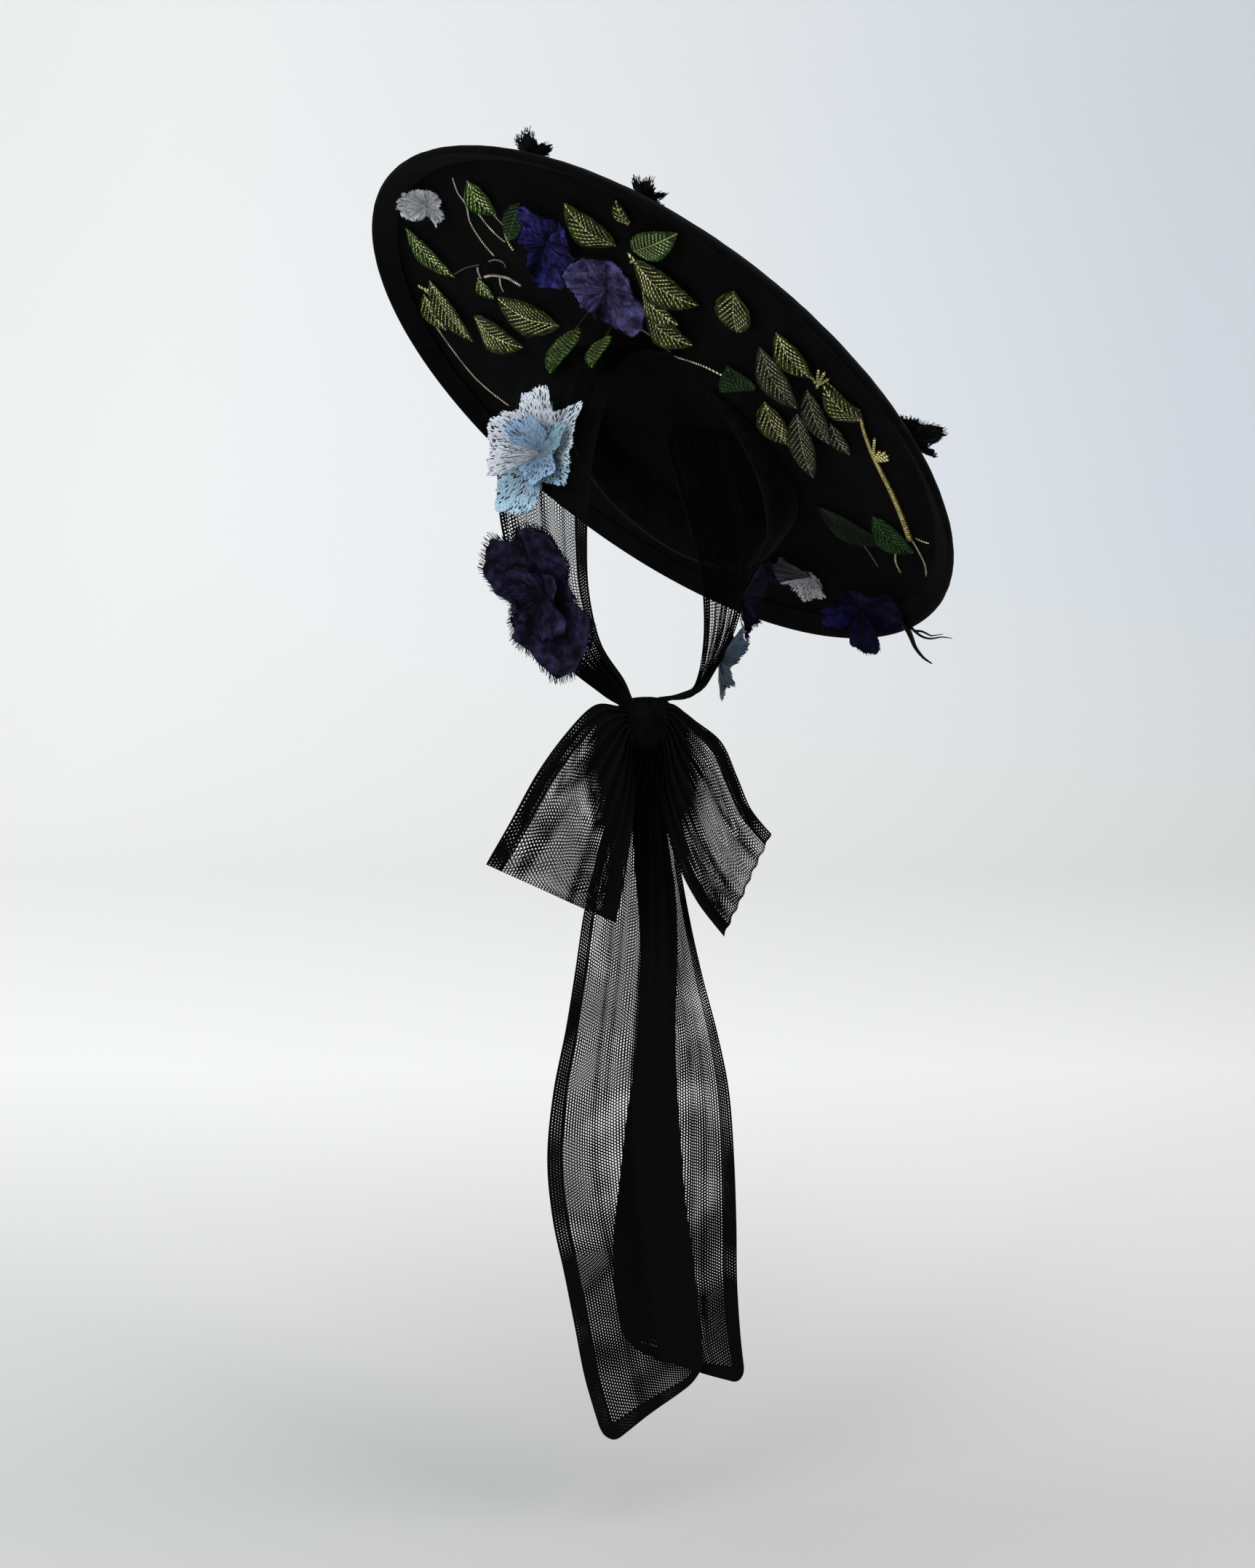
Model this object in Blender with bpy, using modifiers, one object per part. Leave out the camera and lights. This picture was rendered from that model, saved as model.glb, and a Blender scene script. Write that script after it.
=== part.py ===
"""A saucer hat worn on the slant, with leaf and flower trim and a long net sash tied in a bow.

Metres, +Z up, with the front to -Y and the left side to +X.  The origin is the seat, the point
of the saucer's underside that bears the hat's weight.  Tables are in millimetres.
"""
import math

import bmesh
import bpy
from mathutils import Matrix, Vector

MM = 0.001

# the saucer
TILT = math.radians(45.4)        # the left side slants down
NOD = math.radians(4.0)          # and the front a little lower than the back
SAUCER_X, SAUCER_Y = 25.0, 26.0  # middle of the saucer from the seat, in the saucer's own plane
SAUCER_R = 213.6                 # cut edge of the stiff shell
FLAT_R = 195.8                   # where the rim band starts to turn down
SHELL_T = 2.4
RIM_DROP = 9.8
ROUND_STEPS = 72

# the round that the sash is shaped over, from the seat: its middle and its half sizes
ROUND = Vector((-41.9, 5.3, -91.1))
ROUND_X, ROUND_Y, ROUND_Z = 75.0, 98.0, 110.0
SASH_LIFT = 3.0
SASH_T = 1.2

# the bandeau, a padded crescent under the low side of the saucer
BAND_X, BAND_Y = 64.0, 28.0
BAND_R = 84.0
BAND_WALL = 7.0
# angle in the saucer's plane, depth below the underside
BAND_ROWS = ((-136, 3.2), (-124, 7), (-110, 13), (-92, 20), (-72, 27), (-50, 31), (-28, 33),
             (-6, 34), (16, 34), (38, 33), (60, 31), (82, 28), (104, 24), (122, 18), (136, 12))

# the bow: middle of the knot from the round's middle, and the way the bow faces
KNOT = Vector((-25.0, -52.0, -105.0))
BOW_TURN = math.radians(-30.0)
KNOT_W, KNOT_D, KNOT_H = 15.0, 10.0, 12.6

HAT = bpy.data.collections.new("saucer_hat")


def clear_scene():
    for obj in list(bpy.context.scene.objects):
        bpy.data.objects.remove(obj, do_unlink=True)
    bpy.context.scene.collection.children.link(HAT)


def material(name, colour, roughness, metallic=0.0):
    mat = bpy.data.materials.new(name)
    mat.use_nodes = True
    shader = mat.node_tree.nodes["Principled BSDF"]
    shader.inputs["Base Color"].default_value = (*colour, 1.0)
    shader.inputs["Roughness"].default_value = roughness
    shader.inputs["Metallic"].default_value = metallic
    mat.diffuse_color = (*colour, 1.0)
    return mat


def empty(name, parent=None, place=(0, 0, 0)):
    obj = bpy.data.objects.new(name, None)
    HAT.objects.link(obj)
    obj.parent = parent
    obj.location = [v * MM for v in place]
    return obj


def add(name, mesh, look, parent=None, matrix=None):
    """Put a mesh in the hat's collection as a named sub-part."""
    obj = bpy.data.objects.new(name, mesh)
    HAT.objects.link(obj)
    mesh.materials.append(material(name, *look))
    if parent:
        obj.parent = parent
    if matrix:
        obj.matrix_local = matrix
    mesh.shade_smooth()
    return obj


def finish_mesh(name, bm):
    mesh = bpy.data.meshes.new(name)
    bm.to_mesh(mesh)
    bm.free()
    return mesh


def turned(name, profile, closed, look, parent):
    """Turn a profile (radius, height) once round Z; it runs down its outer side."""
    bm = bmesh.new()
    verts = [bm.verts.new((r * MM, 0, z * MM)) for r, z in profile]
    for a, b in zip(verts, verts[1:]):
        bm.edges.new((a, b))
    if closed:
        bm.edges.new((verts[-1], verts[0]))
    obj = add(name, finish_mesh(name, bm), look, parent)
    screw = obj.modifiers.new("turn", "SCREW")
    screw.axis = "Z"
    screw.steps = ROUND_STEPS
    screw.render_steps = ROUND_STEPS
    screw.use_merge_vertices = True
    screw.merge_threshold = 0.00005
    return obj


def sheet(name, rows, look, thick=SASH_T, parent=None, matrix=None):
    """Cloth: an open surface through rows of points, given its thickness by Solidify."""
    bm = bmesh.new()
    grid = [[bm.verts.new(p * MM) for p in row] for row in rows]
    for near, far in zip(grid, grid[1:]):
        for j in range(len(near) - 1):
            bm.faces.new((near[j], near[j + 1], far[j + 1], far[j]))
    obj = add(name, finish_mesh(name, bm), look, parent, matrix)
    thicken(obj, thick)
    return obj


def thicken(obj, thick):
    solid = obj.modifiers.new("cloth", "SOLIDIFY")
    solid.thickness = thick * MM
    solid.offset = 0.0
    solid.use_even_offset = False


def loft(name, sections, look, parent=None):
    """A closed body through closed sections of the same number of points."""
    bm = bmesh.new()
    rings = [[bm.verts.new(p * MM) for p in section] for section in sections]
    count = len(rings[0])
    for near, far in zip(rings, rings[1:]):
        for j in range(count):
            k = (j + 1) % count
            bm.faces.new((near[j], near[k], far[k], far[j]))
    bm.faces.new(list(reversed(rings[0])))
    bm.faces.new(rings[-1])
    bmesh.ops.recalc_face_normals(bm, faces=bm.faces)
    return add(name, finish_mesh(name, bm), look, parent)


def between(table, key):
    """Smooth value of a table of (key, value) rows at one key."""
    for (k0, v0), (k1, v1) in zip(table, table[1:]):
        if key <= k1:
            t = (key - k0) / (k1 - k0)
            return v0 + (v1 - v0) * t * t * (3 - 2 * t)
    return table[-1][1]


FELT = ((0.006, 0.006, 0.008), 0.95)
BINDING = ((0.018, 0.016, 0.018), 0.85)
VELVET = ((0.004, 0.004, 0.005), 1.0)


def build_saucer(axis):
    edge_in = SAUCER_R - 1.4
    shell = [(0, SHELL_T), (FLAT_R + 0.7, SHELL_T), (FLAT_R + 4.6, SHELL_T - 1.2),
             (SAUCER_R, 2.0 - RIM_DROP), (edge_in, -RIM_DROP), (FLAT_R + 3.4, -0.9),
             (FLAT_R, 0), (0, 0)]
    turned("saucer_shell", shell, False, FELT, axis)
    # a folded strip that wraps the cut edge, 13 mm wide on each face
    wrap = [(-10.0, 8.5), (1.1, 0.9), (2.0, -1.2), (0.8, -3.4), (-1.3, -3.6), (-12.9, 4.1),
            (-12.3, 5.05), (-1.3, -2.4), (0.4, 0.1), (-10.6, 7.57)]
    turned("rim_binding", [(SAUCER_R + r, 2.0 - RIM_DROP + z) for r, z in wrap], True,
           BINDING, axis)


def build_bandeau(frame):
    sections = []
    for angle, depth in BAND_ROWS:
        a = math.radians(angle)
        inner = BAND_R - BAND_WALL
        round_off = min(2.0, depth * 0.4)
        profile = ((inner, -0.35), (BAND_R, -0.35), (BAND_R + 0.8, -depth * 0.5),
                   (BAND_R - 0.6, -depth + round_off), (BAND_R - BAND_WALL / 2, -depth),
                   (inner + 0.6, -depth + round_off), (inner - 0.4, -depth * 0.5))
        sections.append([Vector((BAND_X + r * math.cos(a), BAND_Y + r * math.sin(a), z))
                         for r, z in profile])
    loft("bandeau", sections, VELVET, frame)


NET = ((0.012, 0.012, 0.013), 0.8)


def on_round(turn, y, lift):
    """Point over the round: turn in degrees down from its top, + to the right."""
    a = math.radians(turn)
    span = math.sqrt(max(0.0, 1 - (y / (ROUND_Y + lift)) ** 2))
    return ROUND + Vector((-(ROUND_X + lift) * span * math.sin(a), y,
                          (ROUND_Z + lift) * span * math.cos(a)))


def row_between(start, end, count, wave=0.0, waves=2.5, out=Vector((0, 0, 1)), phase=0.0):
    """A row of points across a strip, with soft folds that stand out along one way."""
    row = []
    for j in range(count):
        t = j / (count - 1)
        row.append(start.lerp(end, t) + out * wave * math.sin(2 * math.pi * waves * t + phase))
    return row


# turn down from the top, front edge y, back edge y
TIE_RIGHT = ((0, -26, 56), (14, -30, 52), (34, -39, 44), (57, -46, 31), (73, -49, 21),
             (88, -50, 12), (106, -49, 0), (126, -48, -14), (146, -49, -31))
TIE_LEFT = ((64, -27, 28), (77, -31, 25), (91, -39, 17), (106, -47, 3), (126, -48, -14),
            (146, -49, -31), (162, -52, -40))
TIE_COLUMNS = 6
# where each tie starts on the saucer's underside: distance down the slant, front and back edge
TIE_TOP = {"tie_right": (-24, -26, 52), "tie_left": (43, -24, 26)}


def bow_point(across, up, out):
    """A point of the bow: across to the left, up, and out of the bow's plane."""
    c, s = math.cos(BOW_TURN), math.sin(BOW_TURN)
    return ROUND + KNOT + Vector((across * c + out * s, across * s - out * c, up))


def build_ties(frame_matrix):
    for name, table, side in (("tie_right", TIE_RIGHT, 1), ("tie_left", TIE_LEFT, -1)):
        x, y_front, y_back = TIE_TOP[name]
        rows = [row_between(frame_matrix @ Vector((x, y_front, -1.2)),
                            frame_matrix @ Vector((x, y_back, -1.2)), TIE_COLUMNS)]
        for turn, y_front, y_back in table:
            row = []
            for j in range(TIE_COLUMNS):
                y = y_front + (y_back - y_front) * j / (TIE_COLUMNS - 1)
                lift = SASH_LIFT + (1.2 if j % 2 else 0.0)
                row.append(on_round(side * turn, y, lift))
            rows.append(row)
        if side > 0:
            rows.append(row_between(bow_point(-8, 11.3, 6.5), bow_point(-13.6, 7.6, -2),
                                    TIE_COLUMNS))
        else:
            rows.append(row_between(bow_point(11, 9.6, 2.5), bow_point(10, 9.4, -7),
                                    TIE_COLUMNS))
        sheet(name, rows, NET)


def build_knot():
    bm = bmesh.new()
    bmesh.ops.create_uvsphere(bm, u_segments=16, v_segments=8, radius=1.0)
    for vert in bm.verts:
        x, y, z = vert.co
        pleat = 1.0 + 0.05 * math.cos(8 * math.atan2(y, x)) * (1 - z * z)
        vert.co = bow_point(x * KNOT_W * pleat, z * KNOT_H, -y * KNOT_D * pleat) * MM
    bmesh.ops.recalc_face_normals(bm, faces=bm.faces)
    add("bow_knot", finish_mesh("bow_knot", bm), NET)


# bow loops: upper edge (across, up), lower edge (across, up), out of the front and back layer
LOOP_RIGHT = ((-16, 8, -8, -14, 9.5, 1), (-31, 9, -9, -38, 14, 3), (-48, -6, -11, -61, 16, 5),
              (-66, -29, -14, -84, 16, 6), (-83, -58, -17, -105, 14, 7),
              (-98, -82, -20, -123, 10.5, 10.5))
LOOP_LEFT = ((16, 8, 8, -14, 9.5, 1), (29, -1, 9, -45, 14, 3), (44, -14, 15, -75, 15, 5),
             (54, -36, 22, -95, 15, 6), (63, -56, 33, -116, 14, 7),
             (77, -73, 48, -136, 10.5, 10.5))
LOOP_COLUMNS = 8


def build_loops():
    way = bow_point(0, 0, 1) - bow_point(0, 0, 0)
    for name, table in (("bow_loop_right", LOOP_RIGHT), ("bow_loop_left", LOOP_LEFT)):
        rows = []
        for i, (ua, uz, la, lz, front, back) in enumerate(table):
            wave = 0.4 + (1.2 * (1 - i / 5) if i else 0)
            rows.append(row_between(bow_point(ua, uz, front), bow_point(la, lz, front),
                                    LOOP_COLUMNS, wave, 2.0, way))
        for i in range(4, -1, -1):
            ua, uz, la, lz, front, back = table[i]
            wave = 0.3 + (0.7 * (1 - i / 5) if i else 0)
            if i == 0:
                ua = la = math.copysign(KNOT_W + 1.5, ua)
                lz = -10
            rows.append(row_between(bow_point(ua, uz, back), bow_point(la, lz, back),
                                    LOOP_COLUMNS, wave, 2.0, way, 1.2))
        sheet(name, rows, NET)


# hanging ends: left edge (across, up), right edge (across, up), fold depth
TAIL_RIGHT = ((-9, -13, 7, -13, 1.0), (-17, -42, 12, -42, 2.6), (-27, -80, 17, -80, 3.6),
              (-36, -117, 22, -117, 3.4), (-42, -156, 23, -154, 3.2),
              (-48, -193, 22, -190, 3.0), (-56, -234, 23, -230, 2.6),
              (-60, -277, 26, -273, 2.2), (-57, -317, 29, -312, 2.0),
              (-50, -354, 34, -348, 1.8), (-43, -393, 38, -384, 1.6),
              (-36, -432, 41, -414, 1.2), (-23, -480, 41, -437, 0.6))
TAIL_LEFT = ((-7, -12.6, 9, -12.6, 0.8), (-6, -50, 20, -48, 2.2), (-3, -92, 26, -90, 2.6),
             (0, -132, 33, -130, 2.8), (1, -172, 42, -170, 2.8), (-1, -212, 52, -208, 2.6),
             (-7, -253, 60, -247, 2.2), (-12, -300, 64, -292, 2.0),
             (-16, -340, 66, -336, 1.8), (-15, -378, 67, -380, 1.4),
             (-9, -407, 70, -421, 1.0), (6, -424, 74, -453, 0.6))
TAIL_COLUMNS = 9


def build_tails():
    way = bow_point(0, 0, 1) - bow_point(0, 0, 0)
    for name, table, top, out, phase in (("bow_tail_right", TAIL_RIGHT, 1.5, -6.0, 0.4),
                                         ("bow_tail_left", TAIL_LEFT, -3.0, -15.0, 2.2)):
        rows = []
        for i, (lx, lz, rx, rz, wave) in enumerate(table):
            back = top + (out - top) * min(1.0, i / 2)
            rows.append(row_between(bow_point(lx, lz, back), bow_point(rx, rz, back),
                                    TAIL_COLUMNS, wave, 1.5, way, phase))
        sheet(name, rows, NET)


OLIVE = ((0.06, 0.085, 0.02), 0.55)
GREEN = ((0.05, 0.16, 0.04), 0.5)
GREY_GREEN = ((0.07, 0.09, 0.055), 0.6)
DARK_GREEN = ((0.012, 0.035, 0.012), 0.6)

# name, base x, y and depth below the underside, heading, droop, length, width, stalk, colour
LEAVES = (
    ("leaf_back_long", -114, 164, 0.8, -29, 4, 43, 15, 0, OLIVE),
    ("leaf_back_bright", -157, 66, 0.8, -20, 4, 26, 18, 0, GREEN),
    ("leaf_back_green", -141, 31, 0.8, 47, 5, 40, 13, 0, GREEN),
    ("leaf_fan_1", -112, -31, 0.8, 154, 4, 38, 22, 0, OLIVE),
    ("leaf_fan_2", -129, -53, 0.8, -165, 4, 21, 10, 0, OLIVE),
    ("leaf_fan_3", -109, -43, 0.8, -110, 1.5, 52, 19, 0, GREEN),
    ("leaf_fan_4", -101, -37, 0.8, -54, 4, 47, 25, 0, OLIVE),
    ("leaf_fan_5", -81, -30, 0.8, -56, 17, 34, 18, 0, OLIVE),
    ("leaf_fan_6", -61, -19, 0.8, -50, 4, 36, 22, 0, OLIVE),
    ("leaf_side_1", -38, 74, 0.8, 124, 5, 45, 26, 0, OLIVE),
    ("leaf_side_2", -37, 160, 0.8, -61, 4, 42, 25, 0, OLIVE),
    ("leaf_side_3", -54, 198, 0.8, -3, 6, 30, 16, 0, OLIVE),
    ("leaf_side_4", -68, 180, 0.8, -6, 4, 52, 18, 0, OLIVE),
    ("leaf_over_tie_1", -53, 36, 0.8, -118, 60, 74, 21, 22, GREEN),
    ("leaf_over_tie_2", -50, 12, 0.8, -118, 53, 68, 17, 28, OLIVE),
    ("leaf_lone", -84, -107, 0.8, 25, 4, 34, 22, 0, OLIVE),
    ("leaf_spray_1", -54, -121, 0.8, -18, 4, 34, 18, 0, OLIVE),
    ("leaf_spray_2", -40, -100, 0.8, -18, 12, 42, 20, 0, GREY_GREEN),
    ("leaf_spray_3", 0, -68, 0.8, 172, 5, 23, 24, 0, GREEN),
    ("leaf_spray_4", 8, -75, 0.8, -3, 5, 34, 20, 0, OLIVE),
    ("leaf_spray_5", 15, -97, 0.8, 11, 9, 50, 17, 0, GREY_GREEN),
    ("leaf_spray_6", -8, -118, 0.8, -2, 11, 38, 15, 0, GREY_GREEN),
    ("leaf_spray_7", 19, -121, 0.8, -5, 3, 25, 11, 0, GREY_GREEN),
    ("leaf_spray_8", 14, -148, 0.8, 161, 4, 33, 18, 0, OLIVE),
    ("leaf_low_1", 104, -62, 0.8, -65, 3, 52, 18, 0, DARK_GREEN),
    ("leaf_low_2", 103, -108, 0.8, -41, 5, 34, 20, 0, DARK_GREEN),
)
LEAF_T = 0.8
LEAF_STEPS = 7
LEAF_VEE = 1.3


def placed(origin, along, facing):
    """Placement whose X runs along one way and whose Z faces as nearly as it can another."""
    x = along.normalized()
    z = (facing - facing.dot(x) * x).normalized()
    y = z.cross(x)
    m = Matrix((x, y, z)).transposed().to_4x4()
    m.translation = origin * MM
    return m


def leaf(name, length, width, stalk, look, parent, matrix):
    """A pointed leaf folded a little on its midrib, from a plain grid."""
    bm = bmesh.new()
    bmesh.ops.create_grid(bm, x_segments=LEAF_STEPS, y_segments=2, size=1.0)
    for vert in bm.verts:
        s = (vert.co.x + 1) / 2
        side = vert.co.y
        start = stalk / length
        blade = max(0.0, (s - start) / (1 - start))
        half = max(0.8, width / 2 * math.sin(math.pi * blade ** 0.85) ** 0.8 if blade < 1 else 0)
        arch = 0.02 * length * math.sin(math.pi * s)
        vee = LEAF_VEE * abs(side) * min(1.0, half / 6)
        vert.co = Vector((length * s, half * side, arch + vee)) * MM
    obj = add(name, finish_mesh(name, bm), look, parent, matrix)
    thicken(obj, LEAF_T)
    return obj


def build_leaves(frame):
    for name, x, y, depth, heading, droop, length, width, stalk, look in LEAVES:
        h, d = math.radians(heading), math.radians(droop)
        along = Vector((math.cos(h) * math.cos(d), math.sin(h) * math.cos(d), -math.sin(d)))
        facing = Vector((-0.9, -0.2, -0.4)) if stalk else Vector((0, 0, -1))
        leaf(name, length, width, stalk, look, frame,
             placed(Vector((x, y, -depth)), along, facing))


SKY = ((0.28, 0.42, 0.60), 0.5)
PALE = ((0.45, 0.48, 0.60), 0.5)
PLUM = ((0.018, 0.010, 0.035), 0.9)
VIOLET = ((0.030, 0.020, 0.13), 0.75)
LILAC = ((0.075, 0.055, 0.18), 0.75)
INDIGO = ((0.012, 0.009, 0.06), 0.8)
WHITE = ((0.62, 0.62, 0.75), 0.45)
BLACK_LACE = ((0.008, 0.008, 0.009), 0.9)

# outline of each flower: angle from its right, radius
OUTLINES = {
    "blue_back": ((0, 27), (30, 29), (47, 40), (66, 25), (84, 38), (110, 36), (127, 30),
                  (150, 35), (180, 30), (205, 31), (225, 24), (243, 42), (270, 39), (285, 35),
                  (300, 23), (322, 32), (345, 27), (360, 27)),
    "blue_front": ((0, 21), (35, 26), (60, 15), (100, 20), (140, 22), (175, 14), (215, 17),
                   (250, 15), (290, 25), (325, 24), (345, 17), (360, 21)),
    "plum_back": ((0, 28), (28, 25), (55, 33), (80, 43), (105, 43), (117, 38), (130, 46),
                  (152, 40), (172, 30), (192, 21), (222, 24), (238, 31), (256, 34), (283, 47),
                  (300, 47), (320, 42), (340, 38), (360, 28)),
    "plum_front": ((0, 15), (45, 21), (80, 19), (130, 24), (180, 13), (240, 15), (290, 23),
                   (320, 26), (360, 15)),
    "violet_upper": ((0, 18), (35, 20), (66, 23), (88, 27), (106, 29), (130, 16), (180, 12),
                     (225, 16), (247, 29), (270, 28), (300, 26), (330, 21), (360, 18)),
    "violet_lower": ((0, 18), (45, 19), (75, 25), (110, 26), (140, 28), (180, 20), (225, 16),
                     (270, 23), (300, 30), (325, 27), (360, 18)),
    "indigo": ((0, 27), (30, 25), (60, 17), (90, 20), (120, 21), (150, 15), (180, 24),
               (210, 22), (242, 12), (268, 30), (286, 32), (304, 20), (330, 27), (360, 27)),
    "small": ((0, 13), (36, 9), (72, 13), (108, 9), (144, 14), (180, 10), (216, 13),
              (252, 9), (288, 14), (324, 9), (360, 13)),
    "torn": ((0, 13), (40, 8), (75, 15), (120, 10), (165, 14), (215, 7), (260, 12),
             (305, 9), (335, 22), (345, 20), (360, 13)),
    "petal": ((0, 14), (45, 12), (90, 13), (135, 12), (180, 14), (225, 11), (270, 12),
              (315, 12), (360, 14)),
    "fan_petal": ((0, 11), (40, 14), (74, 17), (101, 15), (125, 15), (150, 18), (185, 20),
                  (202, 19), (225, 10), (250, 6), (275, 7), (300, 12), (318, 13), (335, 11),
                  (360, 11)),
    "wing": ((0, 6), (60, 7), (85, 12), (105, 25), (130, 25), (155, 20), (185, 13), (210, 12),
             (250, 17), (270, 18), (290, 11), (330, 6), (360, 6)),
}

# flowers on the saucer: name, outline, place x, y and depth in the saucer's frame,
# way it faces (turn, rise), spin, size, cup, ruffle, colour
SAUCER_FLOWERS = (
    ("flower_violet_upper", "violet_upper", -116, 22, 7.7, -66, -34, 0, 1.0, 4, 2.2, VIOLET),
    ("flower_violet_lower", "violet_lower", -82, -8, 8.3, -62, -32, 0, 1.0, 4, 2.2, LILAC),
    ("flower_indigo", "indigo", 184, -66, 17.0, -56, -34, 0, 1.05, 5, 2.0, INDIGO),
    ("petals_white_left", "wing", 184, -12, 4.5, -64, -42, 20, 1.1, 3, 1.6, WHITE),
    ("petals_lilac_left", "petal", 182, 20, 3.4, -66, -43, 60, 0.95, 3, 1.4, PALE),
    ("petals_white_back", "fan_petal", -138, 117, 5.0, -62, -38, 0, 1.0, 3, 1.6, WHITE),
)

# flowers on the ties: name, outline, turn down from the top (+ to the right), y, lift,
# way it faces (turn, rise), spin, size, cup, ruffle, colour
TIE_FLOWERS = (
    ("flower_blue_right_back", "blue_back", 63, -13, 4.2, -74, 18, 0, 1.0, 9, 2.2, PALE),
    ("flower_blue_right_front", "blue_front", 63, -13, 6.0, -74, 18, 0, 1.0, 11, 2.2, SKY),
    ("flower_plum_right_back", "plum_back", 106, -22, 5.2, -74, -6, 0, 1.0, 9, 2.2, PLUM),
    ("flower_plum_right_front", "plum_front", 106, -22, 7.0, -74, -6, 0, 1.0, 11, 2.2, PLUM),
    ("flower_plum_left", "plum_front", -114, -46, 4.4, 54, -10, 0, 1.15, 8, 2.0, PLUM),
    ("flower_blue_left", "blue_front", -139, -44, 5.1, 54, -14, 0, 1.15, 8, 2.0, SKY),
)

# black net flowers on the plain top side: name, outline, angle round the saucer, radius, lean
TOP_FLOWERS = (
    ("lace_top_back", "small", 187, 199, 0, 1.0),
    ("lace_top_side", "small", -150, 196, 0, 0.8),
    ("lace_top_low", "torn", -88, 196, 0, 1.25),
)
PETAL_T = 1.2
PETAL_STEPS = 7


def facing_way(turn, rise):
    a, e = math.radians(turn), math.radians(rise)
    return Vector((math.sin(a) * math.cos(e), -math.cos(a) * math.cos(e), math.sin(e)))


def flower(name, outline, size, cup, ruffle, look, matrix, parent=None):
    """Ruffled petals round one middle: a square grid drawn out to the petals' outline."""
    bm = bmesh.new()
    bmesh.ops.create_grid(bm, x_segments=PETAL_STEPS, y_segments=PETAL_STEPS, size=1.0)
    for vert in bm.verts:
        x, y = vert.co.x, vert.co.y
        reach = max(abs(x), abs(y))
        angle = math.degrees(math.atan2(y * (1.3 - 0.3 * abs(y)), x * (1.3 - 0.3 * abs(x))))
        radius = between(OUTLINES[outline], angle % 360) * size * reach
        wave = ruffle * math.sin(math.radians(angle) * 5 + 0.7) * reach ** 2
        vert.co = Vector((radius * math.cos(math.radians(angle)),
                          radius * math.sin(math.radians(angle)),
                          cup * reach ** 1.6 + wave)) * MM
    obj = add(name, finish_mesh(name, bm), look, parent, matrix)
    thicken(obj, PETAL_T)
    return obj


def face_matrix(place, turn, rise, spin):
    """Z faces out, Y up: placed at a point in millimetres."""
    z = facing_way(turn, rise)
    x = Vector((0, 0, 1)).cross(z).normalized()
    y = z.cross(x)
    m = Matrix((x, y, z)).transposed().to_4x4() @ Matrix.Rotation(math.radians(spin), 4, "Z")
    m.translation = place * MM
    return m


def build_flowers(frame_matrix):
    for name, shape, x, y, depth, turn, rise, spin, size, cup, ruffle, look in SAUCER_FLOWERS:
        place = frame_matrix @ Vector((x, y, -depth))
        flower(name, shape, size, cup, ruffle, look, face_matrix(place, turn, rise, spin))
    for name, shape, down, y, lift, turn, rise, spin, size, cup, ruffle, look in TIE_FLOWERS:
        place = on_round(down, y, lift)
        flower(name, shape, size, cup, ruffle, look, face_matrix(place, turn, rise, spin))


def build_top_flowers(axis_matrix):
    for name, shape, angle, radius, lean, size in TOP_FLOWERS:
        a = math.radians(angle)
        place = axis_matrix @ Vector((radius * math.cos(a), radius * math.sin(a), SHELL_T + 0.75))
        out = axis_matrix.to_3x3() @ Vector((math.cos(a), math.sin(a), 0))
        up = axis_matrix.to_3x3() @ Vector((0, 0, 1))
        flower(name, shape, size, 6, 1.6, BLACK_LACE, placed(place, out, up))


def main():
    clear_scene()
    frame = empty("saucer_frame")
    frame.rotation_mode = "ZYX"
    frame.rotation_euler = (NOD, TILT, 0)
    axis = empty("saucer_axis", frame, (SAUCER_X, SAUCER_Y, 0))
    frame_matrix = Matrix.Rotation(NOD, 4, "X") @ Matrix.Rotation(TILT, 4, "Y")
    axis_matrix = frame_matrix @ Matrix.Translation((SAUCER_X, SAUCER_Y, 0))
    build_saucer(axis)
    build_bandeau(frame)
    build_ties(frame_matrix)
    build_knot()
    build_loops()
    build_tails()
    build_leaves(frame)
    build_flowers(frame_matrix)
    build_top_flowers(axis_matrix)


main()
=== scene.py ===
"""Looks of a saucer hat with an embroidered underside and a long net sash.

Metres, +Z up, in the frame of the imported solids.  Tables are in millimetres.
"""
import math
import random

import bmesh
import bpy
from mathutils import Matrix, Vector, noise


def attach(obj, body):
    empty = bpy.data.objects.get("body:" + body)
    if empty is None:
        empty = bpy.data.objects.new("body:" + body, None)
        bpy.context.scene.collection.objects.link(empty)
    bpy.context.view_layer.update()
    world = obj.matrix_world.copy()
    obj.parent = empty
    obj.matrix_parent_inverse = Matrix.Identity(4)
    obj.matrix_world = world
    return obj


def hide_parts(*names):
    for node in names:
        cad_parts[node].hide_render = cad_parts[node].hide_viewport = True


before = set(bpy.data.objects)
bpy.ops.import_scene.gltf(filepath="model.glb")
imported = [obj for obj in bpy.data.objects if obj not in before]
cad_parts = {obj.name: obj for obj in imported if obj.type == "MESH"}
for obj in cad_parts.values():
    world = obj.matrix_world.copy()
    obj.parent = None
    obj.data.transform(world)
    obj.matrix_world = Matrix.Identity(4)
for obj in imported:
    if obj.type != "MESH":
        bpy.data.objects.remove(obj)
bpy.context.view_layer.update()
MM = 0.001

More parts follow.
